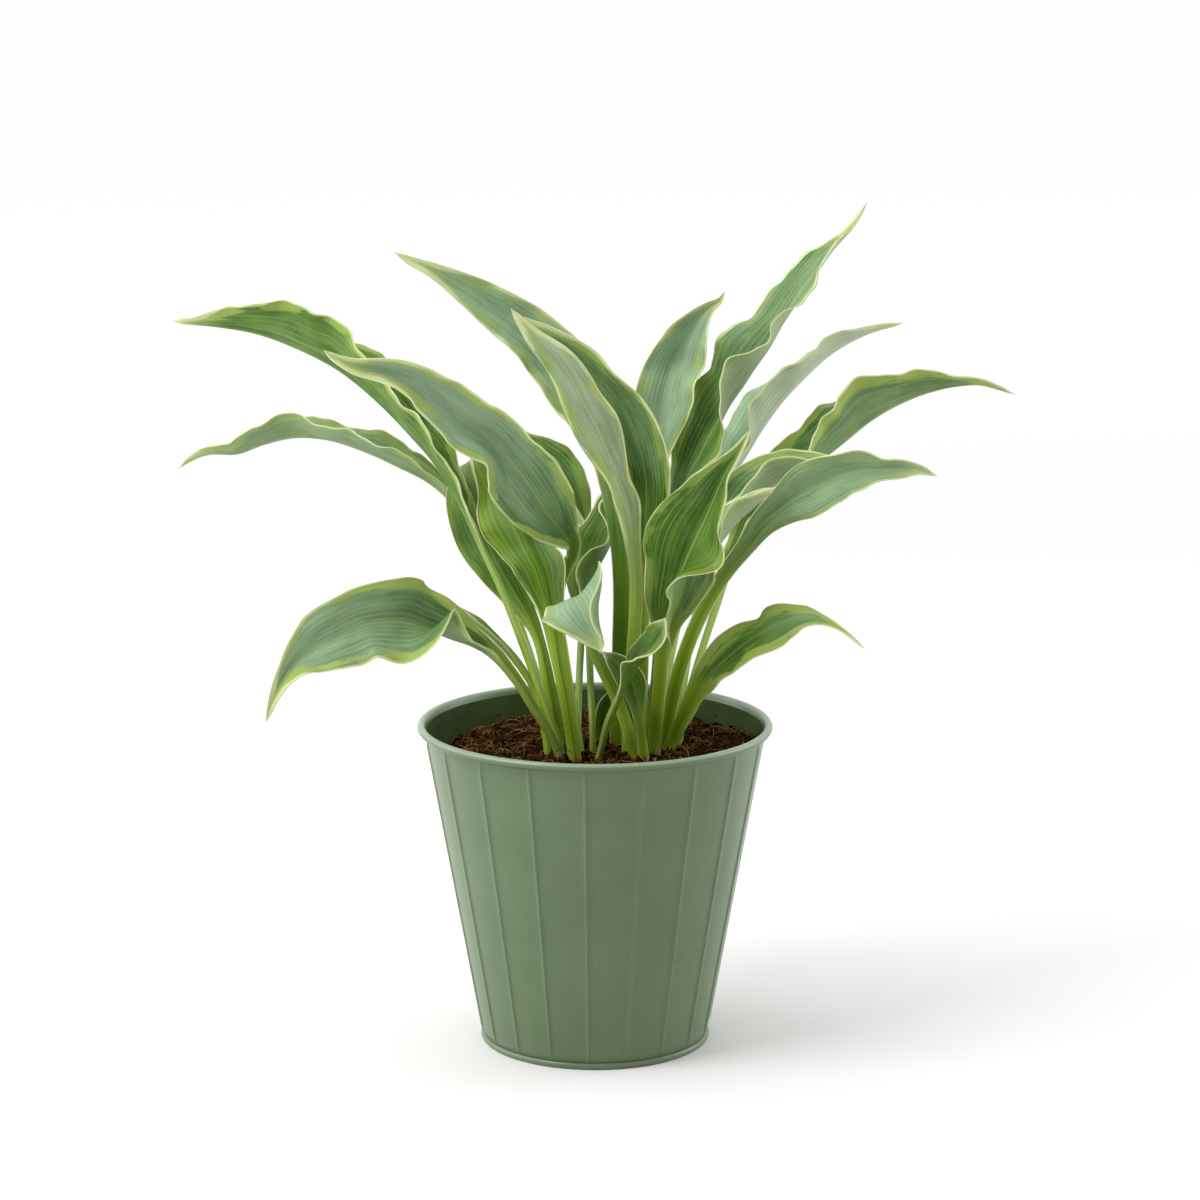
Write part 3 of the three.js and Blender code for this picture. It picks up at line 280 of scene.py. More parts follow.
# How much further away from the eye than its row says each leaf's tip lies
LEAN = {
    "far_left": 40, "front_left": -35, "mid_left": 50, "left_low": -40, "upper_left": 60,
    "upper_left_front": -30, "centre_tall": -10, "back_upright": 60, "tallest": 30, "right_pale": 50,
    "far_right": 30, "right_broad": -30, "right_small": -20, "front_centre": -35, "low_right": -40,
    "small_front": -20, "back_left": 40, "back_middle": 15,
}

# A leaf that hangs over towards the eye takes its left from this direction
LEFT_OF = {"nodding": (-0.85, 0.0, -0.52)}

# How green a leaf is under its bloom, how silvery and how lit through; its cream margin in millimetres and
# how much yellow-green lies inside that; how far its underside is coloured like the top and how silvery that
# is; and how far its stalk is darkened with painted shade where it stands in the shade of other leaves
STYLE = {
    "far_left": (1, 0, 0.1, 0.8, 0.75, 0.85, 0),
    "front_left": (0.2, 0.3, 0, 1.1, 1, 0.15, 0.3),
    "left_inner": (0.3, 0.15, 1, 0.7, 0.3, 0.8, 0),
    "mid_left": (0.5, 0.2, 0, 0.7, 0.5, 0.3, 0.25),
    "left_low": (0.3, 0.1, 0, 0.9, 1, 0.15, 0.2),
    "left_low_back": (0.6, 0, 0, 0.7, 0.5, 0.3, 0.2),
    "upper_left": (0.15, 0.2, 0, 1.1, 0.6, 0.15, 0.3, 0.9),
    "upper_left_front": (0.2, 0.4, 0, 1.6, 0.9, 0.15, 0.5),
    "centre_tall": (0.65, 0, 0, 1.2, 0.8, 0.15, 0.3),
    "back_upright": (0.15, 0.25, 0, 0.8, 0.7, 0.15, 0.4),
    "tallest": (0.65, 0, 0, 1.1, 0.4, 0, 0.8, 0.4),
    "right_pale": (0.15, 0.6, 0, 0.9, 0.2, 0, 1),
    "far_right": (0.55, 0, 0.1, 0.8, 1, 0.5, 0),
    "right_broad": (0.45, 0.2, 0, 0.35, 0.3, 0.15, 0.3),
    "right_arched": (0.7, 0, 0, 0.7, 0.5, 0.1, 0.5),
    "right_small": (0.5, 0.1, 0, 1, 0.5, 0, 0.7),
    "front_centre": (1, 0, 0.2, 0.55, 0.5, 0.1, 0.5),
    "small_front": (0.95, 0, 0.5, 0.4, 0.3, 0.8, 0),
    "nodding": (0.15, 0.3, 0, 1, 0.5, 0.9, 0.35),
    "low_right": (0.7, 0, 0.2, 0.4, 0.8, 0.3, 0.2),
    "back_far_left": (0.85, 0, 0.35, 0.3, 0.3, 0.9, 0),
    "back_left": (0.95, 0, 0.15, 0.5, 0.4, 0.2, 0.2, 0.5),
    "back_middle": (1, 0, 0.45, 0.8, 0.2, 0.6, 0.1, 0.6),
    "centre_twisted": (0.95, 0, 0.45, 0.3, 0.1, 0.3, 0.1, 0.5),
    "young": (0.95, 0, 0.5, 0.2, 0.1, 0.5, 0),
}


def lerp(a, b, t):
    return a + (b - a) * t


def smoothstep(x, low, high):
    t = np.clip((x - low) / (high - low), 0, 1)
    return t * t * (3 - 2 * t)


def unit(vectors):
    return vectors / np.linalg.norm(vectors, axis=-1, keepdims=True)


def around(radius, angle):
    return radius * math.cos(angle), radius * math.sin(angle)


def placed_rows(name):
    """A leaf's rows with their stations in space: x, y, z, half width, two angles and two curls"""
    rows = LEAVES[name]
    spans = np.diff([row[:2] for row in rows[1:]], axis=0)
    reach = np.cumsum([0, 0, *np.linalg.norm(spans, axis=1)])
    placed = []
    angles = ()
    for row, at in zip(rows, reach):
        lean = LEAN.get(name, 0) * (at / reach[-1]) ** 1.5
        scale = 1 + (row[2] + lean) / -EYE[1]
        point = EYE + (np.array([row[0], 0.0, row[1]]) - EYE) * scale
        angles = row[4:6] or angles
        curls = row[6:] or (MARGIN_CURL, MARGIN_CURL)
        placed.append([*point, row[3] * scale, *angles, *curls])
    return np.array(placed)


class SmoothCurve:
    """A smooth curve through rows of numbers, by distance along the leaf in millimetres"""

    def __init__(self, rows):
        spans = np.linalg.norm(np.diff(rows[:, :3], axis=0), axis=1)
        rise = np.diff(rows, axis=0) / spans[:, None]
        before, after = spans[:-1, None], spans[1:, None]
        middle = (rise[:-1] * after + rise[1:] * before) / (before + after)
        self.rows = rows
        self.spans = spans
        self.reach = np.concatenate([[0], np.cumsum(spans)])
        self.slopes = np.vstack([rise[:1], middle, rise[-1:]])
        self.length = self.reach[-1]

    def at(self, distances):
        distances = np.atleast_1d(distances)
        i = np.clip(np.searchsorted(self.reach, distances, side="left") - 1, 0, len(self.spans) - 1)
        span = self.spans[i][:, None]
        t = (distances - self.reach[i])[:, None] / span
        t2, t3 = t**2, t**3
        return (
            (2 * t3 - 3 * t2 + 1) * self.rows[i]
            + (t3 - 2 * t2 + t) * span * self.slopes[i]
            + (3 * t2 - 2 * t3) * self.rows[i + 1]
            + (t3 - t2) * span * self.slopes[i + 1]
        )


def stops(curve):
    """Distances along a leaf at which it gets a cross-section, further apart on the stalk"""
    distances = [0.0]
    while distances[-1] < curve.length:
        step = BLADE_STEP
        if distances[-1] < curve.length * FOOT_SHARE:
            half = curve.at(distances[-1])[0][3]
            blade = min(max((half - LONG_STEP_HALF_WIDTH) / BLADE_WIDENS, 0), 1)
            step = lerp(STALK_STEP, BLADE_STEP, blade)
        distances.append(distances[-1] + step)
    return np.array(distances) * curve.length / distances[-1]


def directions(name, curve, s):
    """Unit vectors to the leaf's left and out of its section, square to its growth, at the distances s"""
    ahead, behind = curve.at(np.minimum(s + 0.5, curve.length)), curve.at(np.maximum(s - 0.5, 0))
    along = unit(ahead[:, :3] - behind[:, :3])
    to_eye = np.array([0.0, -math.cos(EYE_DIP), math.sin(EYE_DIP)])
    left = LEFT_OF.get(name, np.cross(to_eye, along))
    left = unit(left - along * np.sum(left * along, axis=1, keepdims=True))
    return left, np.cross(along, left)


def puckers(s, across, half, fleshy, phase):
    """Heights of soft puckers between the veins, flat at the rib, the margin and the stalk"""
    (long, short), (slant, counter) = PUCKER_LENGTHS, PUCKER_SLANTS
    height = np.sin(s[:, None] / long + slant * across + phase)
    height = height * np.cos(s[:, None] / short - counter * across + 2 * phase)
    height = height * PUCKER_HEIGHT * (4 * np.abs(across) * (1 - np.abs(across)))
    return height * ((1 - fleshy) * np.minimum(1, half / PUCKER_HALF_WIDTH))[:, None]


def leaf_faces(name, phase):
    """Upper and lower face of a leaf as (steps, columns, 3) in millimetres, with what its material needs"""
    curve = SmoothCurve(placed_rows(name))
    s = stops(curve)
    here = curve.at(s)
    left, out = directions(name, curve, s)
    taper = np.minimum(1, TIP_SHARE + (curve.length - s) / TIP_TAPER)
    half = np.maximum(here[:, 3], LEAST_HALF_WIDTH) * taper
    stalk = np.clip(1 - (here[:, 3] - STALK_HALF_WIDTH) / BLADE_WIDENS, 0, 1)
    fleshy = stalk * (1 - smoothstep(s, *(curve.length * share for share in FLESHY_ENDS)))
    wave = half * WAVE_HEIGHT * (1 - fleshy)
    rib_thick = lerp(RIB_THICK, STALK_THICK, fleshy) * np.minimum(1, half / THIN_HALF_WIDTH)
    margin_thick = np.minimum(rib_thick, lerp(MARGIN_THICK, STALK_MARGIN_THICK, fleshy))

    # A section's points are complex numbers, from the midrib to the leaf's left and, times i, out of it
    count = HALF_COLUMNS
    middle = (here[:, 4] + here[:, 5]) / 2
    flat = np.zeros((len(s), 2 * count + 1), dtype=complex)
    for sign, angle, curl in ((-1, here[:, 4], here[:, 6]), (1, here[:, 5], -here[:, 7])):
        point = 0
        for j in range(1, count + 1):
            part = j / count
            fold = smoothstep((j - 0.5) / count, 0, lerp(BLADE_FOLD, STALK_FOLD, fleshy))
            turned = np.radians(lerp(middle + sign * 90, angle + curl * (j - 0.5) / count, fold))
            run = np.exp(1j * turned)
            point = point + run * half / count
            swing = np.sin(2 * np.pi * s / WAVE_LENGTH + phase + sign * WAVE_SHIFT)
            small = np.sin(2 * np.pi * s / SMALL_WAVE_LENGTH + 2 * phase - sign)
            ripple = wave * part**2 * (swing + SMALL_WAVE_HEIGHT * part**3 * small)
            flat[:, count + sign * j] = point - 1j * sign * run * ripple

    normal = 1j * (flat[:, [*range(1, 2 * count + 1), -1]] - flat[:, [0, *range(2 * count)]])
    normal = normal / np.abs(normal)
    across = np.linspace(-1, 1, 2 * count + 1)
    thick = lerp(rib_thick[:, None], margin_thick[:, None], np.abs(across) ** 0.7)
    flat = flat + normal * puckers(s, across, half, fleshy, phase)
    under = flat + normal * thick

    def lift(points):
        spread = points.real[..., None] * left[:, None] + points.imag[..., None] * out[:, None]
        return here[:, None, :3] + spread

    edge_mm = half[:, None] * (1 - np.abs(across))
    return lift(flat), lift(under), across, s, edge_mm, fleshy, curve.length


def add_object(name, data):
    thing = bpy.data.objects.new(name, data)
    bpy.context.scene.collection.objects.link(thing)
    return thing


def new_mesh(name, points, faces, smooth_angle=60):
    """A piece from points in metres, with smooth shading up to an angle between faces"""
    mesh = bpy.data.meshes.new(name)
    mesh.from_pydata(np.asarray(points).tolist(), [], faces)
    mesh.update()
    bm = bmesh.new()
    bm.from_mesh(mesh)
    bmesh.ops.recalc_face_normals(bm, faces=bm.faces)
    bm.to_mesh(mesh)
    bm.free()
    mesh.polygons.foreach_set("use_smooth", [True] * len(mesh.polygons))
    mesh.set_sharp_from_angle(angle=math.radians(smooth_angle))
    return add_object(name, mesh)


def add_vector(piece, name, values):
    layer = piece.data.attributes.new(name, "FLOAT_VECTOR", "POINT")
    layer.data.foreach_set("vector", np.asarray(values, dtype=np.float32).ravel())


def make_leaf(name, index):
    """One closed mesh, the upper face's points before the lower's, with what its material reads at each"""
    upper, lower, across, s, edge_mm, fleshy, length = leaf_faces(name, index * PHASE_STEP)
    steps, columns = upper.shape[:2]
    base = steps * columns
    faces = []
    for i in range(steps - 1):
        for j in range(columns - 1):
            a = i * columns + j
            b = a + columns
            faces.append((a, b, b + 1, a + 1))
            faces.append((base + a, base + a + 1, base + b + 1, base + b))
        for j in (0, columns - 1):
            a = i * columns + j
            b = a + columns
            faces.append((a, base + a, base + b, b) if j == 0 else (a, b, base + b, base + a))
    for i in (0, steps - 1):
        ring = [i * columns + j for j in range(columns)]
        faces.append((*ring, *(base + k for k in reversed(ring))))
    points = np.concatenate([upper.reshape(-1, 3), lower.reshape(-1, 3)])
    piece = new_mesh("look_leaf_" + name, points / 1000, faces)

    green, silver, glow, cream, zone, below, pale, *shade = STYLE[name]
    fleshy, share = fleshy[:, None], s[:, None] / length
    place = (across, s[:, None], edge_mm)
    edge = (cream, zone, index * SEED_STEP % 1.0)
    # How much painted shade the stalk gets
    stem = (*(shade or [0]), 0, 0)
    for layer, over, under in (
        ("leaf_place", place, place),
        ("leaf_kind", (fleshy, 1.0, share), (fleshy, below, share)),
        ("leaf_tone", (green, silver, glow), (green, pale, glow)),
        ("leaf_edge", edge, edge),
        ("leaf_painted_shade", stem, stem),
    ):
        grids = [[np.ones(edge_mm.shape) * value for value in face] for face in (over, under)]
        add_vector(piece, layer, np.moveaxis(np.array(grids), 1, -1))
    return piece


# Pot sizes in metres, the height and the bead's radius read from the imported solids
POT_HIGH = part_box("pot_wall")[1]
POT_HEIGHT = POT_HIGH[2]
BEAD_RADIUS = POT_HIGH[0]
BEAD_OUT = 0.003
BEAD_ROLL = 0.68 * BEAD_OUT
MOUTH_RADIUS = BEAD_RADIUS - BEAD_OUT
FOOT_RADIUS = 0.0588
SHEET = 0.0012
HEM_OUT = 0.0012
HEM_TALL = 0.0035
HEM_ROUND = 0.4 * HEM_TALL
WALL_LOW = HEM_TALL + 0.0004
WALL_HIGH = POT_HEIGHT - 0.0046
WALL_STEPS = 32
RIB_COUNT = 19
RIB_HALF_WIDTH = 0.001725
RIB_HEIGHT = 0.0008
RIB_FADE = (0.0005, 0.004)
RIB_STEPS = 8
FRONT_RIB = math.radians(-93.1)
INNER_HIGH = POT_HEIGHT - 0.0035
INNER_LOW = 0.0014
INNER_STEPS = 13
# Height of the line of painted shade under the bead
BEAD_SHADE_HEIGHT = POT_HEIGHT - 0.0042

# Soil sizes in metres, and the scale, height and shift of each size of clod in its top
SOIL_LEVEL = 0.1555
SOIL_BOTTOM = 0.0016
SOIL_SHOULDER = 0.136
SOIL_GAP = 0.0004
SOIL_DRAW_IN = 0.004
SOIL_RINGS = 110
SOIL_SIDES = 280
CLODS = ((130, 0.0016, (0, 0, 0)), (330, 0.0011, (3, 1, 7)), (800, 0.0003, (9, 4, 2)))


def wall_radius(z):
    return FOOT_RADIUS + (MOUTH_RADIUS - FOOT_RADIUS) * z / POT_HEIGHT


def arc(start, sweep, steps):
    """Angles in radians along an arc that is given in degrees"""
    return [math.radians(start + sweep * k / steps) for k in range(steps + 1)]


def pot_profile():
    """Points (radius, height, share of the ribs) once round the wall's section"""
    points = [(wall_radius(0) - SHEET, 0.0, 0)]
    hem = wall_radius(HEM_TALL / 2) + HEM_OUT - HEM_ROUND
    for turn in arc(-90, 180, 8):
        points.append((hem + HEM_ROUND * math.cos(turn), HEM_TALL / 2 * (1 + math.sin(turn)), 0))
    for k in range(WALL_STEPS + 1):
        z = lerp(WALL_LOW, WALL_HIGH, k / WALL_STEPS)
        points.append((wall_radius(z), z, float(smoothstep(min(z - WALL_LOW, WALL_HIGH - z), *RIB_FADE))))
    for turn in arc(-125, 270, 14):
        across, up = around(BEAD_ROLL, turn)
        points.append((BEAD_RADIUS - BEAD_ROLL + across, POT_HEIGHT - BEAD_ROLL + up, 0))
    for k in range(INNER_STEPS):
        z = lerp(INNER_HIGH, INNER_LOW, k / (INNER_STEPS - 1))
        points.append((wall_radius(z) - SHEET, z, 0))
    return points


def make_pot():
    """The pot's wall, with rounded ribs, and its inner faces in a second material that paints the shade
    inside
    """
    pitch = 2 * math.pi / RIB_COUNT
    turn = RIB_HALF_WIDTH / MOUTH_RADIUS
    angles, heights = [], []
    for i in range(RIB_COUNT):
        centre = FRONT_RIB + i * pitch
        for step in np.linspace(-1, 1, RIB_STEPS + 1):
            angles.append(centre + step * turn)
            heights.append(RIB_HEIGHT * 0.5 * (1 + math.cos(math.pi * step)))
        for k in range(1, RIB_STEPS):
            angles.append(centre + turn + (pitch - 2 * turn) * k / RIB_STEPS)
            heights.append(0.0)
    profile = pot_profile()
    size, count = len(profile), len(angles)
    points, faces, inner = [], [], []
    for i, (angle, height) in enumerate(zip(angles, heights)):
        n = (i + 1) % count
        for j, (radius, z, share) in enumerate(profile):
            k = (j + 1) % size
            points.append((*around(radius + height * share, angle), z))
            faces.append((i * size + j, n * size + j, n * size + k, i * size + k))
            inner.append(int(j >= size - INNER_STEPS))
    piece = new_mesh("look_pot", points, faces, smooth_angle=50)
    piece.data.polygons.foreach_set("material_index", inner)
    return piece


def soil_height(across, away):
    """The solid's top at shares of its radius: a slope and low lumps in millimetres over SOIL_LEVEL"""
    lumps = math.sin(7 * across + 2) * math.cos(6 * away) + 0.6 * math.sin(13 * away + 5 * across)
    slope = 5.2 * across + 2.5 * away - 4.5 * across * away
    return SOIL_LEVEL + 0.001 * (slope + 0.6 * lumps - 3.2 * math.hypot(across, away) ** 2)


def soil_radius(z):
    return wall_radius(z) - SHEET - SOIL_GAP


def soil_reach(angle):
    """How far the soil's top reaches towards the wall, which is narrower where the soil is lower"""
    return soil_radius(soil_height(*around(1, angle)) - SOIL_DRAW_IN)


def soil_surface(x, y):
    reach = soil_radius(SOIL_LEVEL)
    place = Vector((x, y, 0.0))
    clods = sum(noise.noise(place * scale + Vector(shift)) * height for scale, height, shift in CLODS)
    return soil_height(x / reach, y / reach) + clods


def make_soil():
    """A finely meshed top over a plain side and bottom"""
    angles = [2 * math.pi * side / SOIL_SIDES for side in range(SOIL_SIDES)]
    points, faces = [(0, 0, soil_surface(0, 0))], []
    for ring in range(1, SOIL_RINGS + 1):
        for angle in angles:
            x, y = around(soil_reach(angle) * ring / SOIL_RINGS, angle)
            points.append((x, y, soil_surface(x, y)))
    for z in (SOIL_SHOULDER, SOIL_BOTTOM):
        points.extend((*around(soil_radius(z), angle), z) for angle in angles)

    def at(ring, side):
        return 1 + ring * SOIL_SIDES + side % SOIL_SIDES

    for side in range(SOIL_SIDES):
        faces.append((0, at(0, side), at(0, side + 1)))
        for ring in range(SOIL_RINGS + 1):
            inner, outer = ring, ring + 1
            faces.append((at(inner, side), at(outer, side), at(outer, side + 1), at(inner, side + 1)))
    faces.append(tuple(at(SOIL_RINGS + 1, side) for side in range(SOIL_SIDES)))
    return new_mesh("look_soil", points, faces, smooth_angle=80)


# Loose matter on the soil, in metres: three values are the least, what is added at most and how strongly
# small ones are favoured, and two are the least and the most.
CRUMB_COUNT = 1500
CRUMB_SIZE = (0.0004, 0.0016, 2.6)
CRUMB_STRETCH = (0.6, 1.3)
CRUMB_ROUGH = (-0.28, 0.28)
HEAPED_PER_LEAF = 22
HEAPED_AWAY = (0.0056, 0.003, 1.5)
HEAPED_SIZE = (0.0005, 0.0011, 1.5)
STUCK_COUNT = 23
STUCK_HEIGHT = (SOIL_LEVEL + 0.001, 0.008, 2)
STUCK_SIZE = (0.0002, 0.0004, 1)
FIBRE_COUNT = 1500
FIBRE_LENGTH = (0.004, 0.017, 1.8)
FIBRE_RADIUS = (0.00008, 0.00026)
FIBRE_ARCH = (0.0002, 0.0028)
FIBRE_BEND = (-0.5, 0.5)
FIBRE_STEPS = 7
FIBRE_SIDES = 3
LONG_FIBRE_EVERY = 60
LONG_FIBRE_LENGTH = (0.018, 0.030)
LONG_FIBRE_ARCH = (0.005, 0.009)
LONG_FIBRE_RADIUS = 0.00016
FIBRE_EDGE = 0.001


def some_size(draw, least, more, power):
    return least + more * draw.random() ** power


def leaf_foot(name):
    """Where a leaf comes out of the soil, in metres"""
    curve = SmoothCurve(placed_rows(name))
    for point in curve.at(np.arange(0.0, 40.0, 0.5))[:, :3] / 1000:
        if point[2] > soil_surface(point[0], point[1]):
            break
    return point


def make_crumbs(draw):
    """Loose lumps of compost on the soil, some heaped round the stalks and a few on the pot's inner wall"""
    feet = [leaf_foot(name) for name in LEAVES]
    ball = bmesh.new()
    bmesh.ops.create_icosphere(ball, subdivisions=1, radius=1)
    unit_points = np.array([v.co[:] for v in ball.verts])
    unit_faces = [[v.index for v in f.verts] for f in ball.faces]
    ball.free()
    points, faces, tones = [], [], []
    for n in range(CRUMB_COUNT):
        stuck = n >= CRUMB_COUNT - STUCK_COUNT
        angle = draw.uniform(0, 2 * math.pi)
        size = some_size(draw, *CRUMB_SIZE)
        x, y = around((soil_reach(angle) - size) * math.sqrt(draw.uniform(0.0, 0.99)), angle)
        if stuck:
            z = some_size(draw, *STUCK_HEIGHT)
            size = some_size(draw, *STUCK_SIZE)
            x, y = around(wall_radius(z) - SHEET - size * 0.5, angle)
        elif n < HEAPED_PER_LEAF * len(feet):
            foot = feet[n // HEAPED_PER_LEAF]
            x, y = around(some_size(draw, *HEAPED_AWAY), angle)
            size = some_size(draw, *HEAPED_SIZE)
            x, y = foot[0] + x, foot[1] + y
        if not stuck:
            z = soil_surface(x, y) + size * 0.25
        shape = unit_points * draw.uniform(*CRUMB_STRETCH, 3)
        shape = shape * (1 + draw.uniform(*CRUMB_ROUGH, (len(unit_points), 1)))
        turn = np.linalg.qr(draw.normal(size=(3, 3)))[0]
        start = len(points)
        points.extend(shape @ turn * size + np.array([x, y, z]))
        faces.extend([[start + k for k in face] for face in unit_faces])
        tones.extend([[draw.random(), 0, 0]] * len(unit_points))
    piece = new_mesh("look_crumbs", points, faces, smooth_angle=25)
    add_vector(piece, "grain", tones)
    return piece


def fibre_line(place, heading, bend, length, arch):
    """Points along a fibre that bends evenly, arches over the soil and stays clear of the wall"""
    x, y = place
    line = []
    for k in range(FIBRE_STEPS):
        lift = math.sin(math.pi * k / (FIBRE_STEPS - 1)) * arch
        reach, edge = math.hypot(x, y), soil_reach(math.atan2(y, x)) - FIBRE_EDGE
        if reach > edge:
            x, y = x * edge / reach, y * edge / reach
        line.append(np.array([x, y, soil_surface(x, y) + lift]))
        x += math.cos(heading) * length / FIBRE_STEPS
        y += math.sin(heading) * length / FIBRE_STEPS
        heading += bend
    return line


def make_fibres(draw):
    """Coir fibres: thin bent threads lying in and on the compost, and a few long ones that arch over it"""
    points, faces, tones = [], [], []
    last, sides = FIBRE_STEPS - 1, FIBRE_SIDES
    for n in range(FIBRE_COUNT):
        angle = draw.uniform(0, 2 * math.pi)
        place = around(soil_reach(angle) * math.sqrt(draw.uniform(0.0, 0.97)), angle)
        heading = draw.uniform(0, 2 * math.pi)
        bend = draw.uniform(*FIBRE_BEND)
        length = some_size(draw, *FIBRE_LENGTH)
        thick = draw.uniform(*FIBRE_RADIUS)
        arch = draw.uniform(*FIBRE_ARCH)
        if n % LONG_FIBRE_EVERY == 0:
            length = draw.uniform(*LONG_FIBRE_LENGTH)
            arch = draw.uniform(*LONG_FIBRE_ARCH)
            thick = LONG_FIBRE_RADIUS
        line = fibre_line(place, heading, bend, length, arch)
        start = len(points)
        for k, point in enumerate(line):
            ahead = unit(line[min(k + 1, last)] - line[max(k - 1, 0)])
            wide = unit(np.cross(ahead, [0, 0, 1.0]))
            tall = np.cross(wide, ahead)
            taper = thick * (0.35 + 0.65 * math.sin(math.pi * (k + 0.6) / (FIBRE_STEPS + 0.2)))
            for side in range(sides):
                across, up = around(taper, 2 * math.pi * side / sides)
                points.append(point + wide * across + tall * up)
        for k in range(last):
            for side in range(sides):
                a, b = start + k * sides + side, start + k * sides + (side + 1) % sides
                faces.append((a, b, b + sides, a + sides))
        for end in (start, start + last * sides):
            faces.append(tuple(range(end, end + sides)))
        tones.extend([[draw.random(), 0, 0]] * (FIBRE_STEPS * sides))
    piece = new_mesh("look_fibres", points, faces, smooth_angle=180)
    add_vector(piece, "grain", tones)
    return piece


class Nodes:
    """The nodes of a material or world, and short calls that add to them"""

    def __init__(self, owner, shader="Principled BSDF"):
        owner.use_nodes = True
        self.owner = owner
        self.tree = owner.node_tree
        self.shader = self.tree.nodes[shader]

    def add(self, kind, **settings):
        node = self.tree.nodes.new(kind)
        for key, value in settings.items():
            setattr(node, key, value)
        return node

    def put(self, socket, value):
        if isinstance(value, (int, float)):
            socket.default_value = value
        elif isinstance(value, tuple):
            socket.default_value = value if len(value) == len(socket.default_value) else (*value, 1)
        else:
            self.tree.links.new(value, socket)

    def fill(self, node, *values):
        for socket, value in zip(node.inputs, values):
            self.put(socket, value)
        return node.outputs[0]

    def math(self, operation, *values):
        return self.fill(self.add("ShaderNodeMath", operation=operation), *values)

    def times(self, a, b):
        return self.math("MULTIPLY", a, b)

    def ramp(self, value, low, high, to_low=0, to_high=1, kind="SMOOTHSTEP"):
        node = self.add("ShaderNodeMapRange", interpolation_type=kind)
        return self.fill(node, value, low, high, to_low, to_high)

    def mix(self, share, a, b):
        node = self.add("ShaderNodeMix", data_type="RGBA")
        for socket, value in ((node.inputs["Factor"], share), (node.inputs[6], a), (node.inputs[7], b)):
            self.put(socket, value)
        return node.outputs[2]

    def layered(self, color, *layers):
        """A colour with others laid over it in turn, each by its share times its strength"""
        for share, strength, tint in layers:
            color = self.mix(self.times(share, strength), color, tint)
        return color

    def noise(self, vector, scale, detail=3, rough=0.55):
        node = self.add("ShaderNodeTexNoise")
        for name, value in (("Vector", vector), ("Scale", scale), ("Detail", detail), ("Roughness", rough)):
            self.put(node.inputs[name], value)
        return node.outputs["Fac"]

    def parts(self, vector):
        node = self.add("ShaderNodeSeparateXYZ")
        self.fill(node, vector)
        return tuple(node.outputs)

    def attribute(self, name):
        return self.parts(self.add("ShaderNodeAttribute", attribute_name=name).outputs["Vector"])

    def place(self, kind="Object"):
        return self.add("ShaderNodeTexCoord").outputs[kind]

    def bump(self, height, strength, distance):
        node = self.add("ShaderNodeBump")
        for name, value in (("Strength", strength), ("Distance", distance), ("Height", height)):
            self.put(node.inputs[name], value)
        self.put(self.shader.inputs["Normal"], node.outputs[0])

    def finish(self, color, rough, **values):
        for name, value in {"Base_Color": color, "Roughness": rough, **values}.items():
            self.put(self.shader.inputs[name.replace("_", " ")], value)
        return self.owner


def material_nodes(name):
    return Nodes(bpy.data.materials.new(name))


class LeafNodes(Nodes):
    """Nodes for the leaves, with what each point says about itself and the streaks that colours share"""

    def __init__(self, material):
        super().__init__(material)
        self.across, self.along, self.edge = self.attribute("leaf_place")
        self.stalk, self.upper, self.share = self.attribute("leaf_kind")
        self.green, self.silver, self.glow = self.attribute("leaf_tone")
        self.cream, self.yellow, seed = self.attribute("leaf_edge")
        self.painted_stalk_shade = self.attribute("leaf_painted_shade")[0]
        self.seed = self.times(seed, 37)
        self.off_rib = self.math("ABSOLUTE", self.across)

        # Parallel veins, closer together towards the margin, and streaks and clouds that run with them
        veins = self.math("COSINE", self.times(self.math("POWER", self.off_rib, 0.85), 50))
        self.veins = self.math("MULTIPLY_ADD", veins, 0.5, 0.5)
        clear = self.ramp(self.streaks(5, 0.02), 0.35, 0.6, 0.2, 1)
        self.vein_line = self.times(self.math("POWER", self.veins, 14), clear)
        self.streak = self.streaks(11, 0.007)
        self.fine = self.streaks(60, 0.03, 2)
        self.cloud = self.streaks(1.7, 0.02, 2)

    def stretched(self, across, along, detail):
        return self.noise(self.fill(self.add("ShaderNodeCombineXYZ"), across, along, self.seed), 1, detail)

    def streaks(self, wide, long, detail=3):
        """Noise drawn out along the leaf, by its scales over half the blade and over a millimetre"""
        return self.stretched(self.times(self.across, wide), self.times(self.along, long), detail)


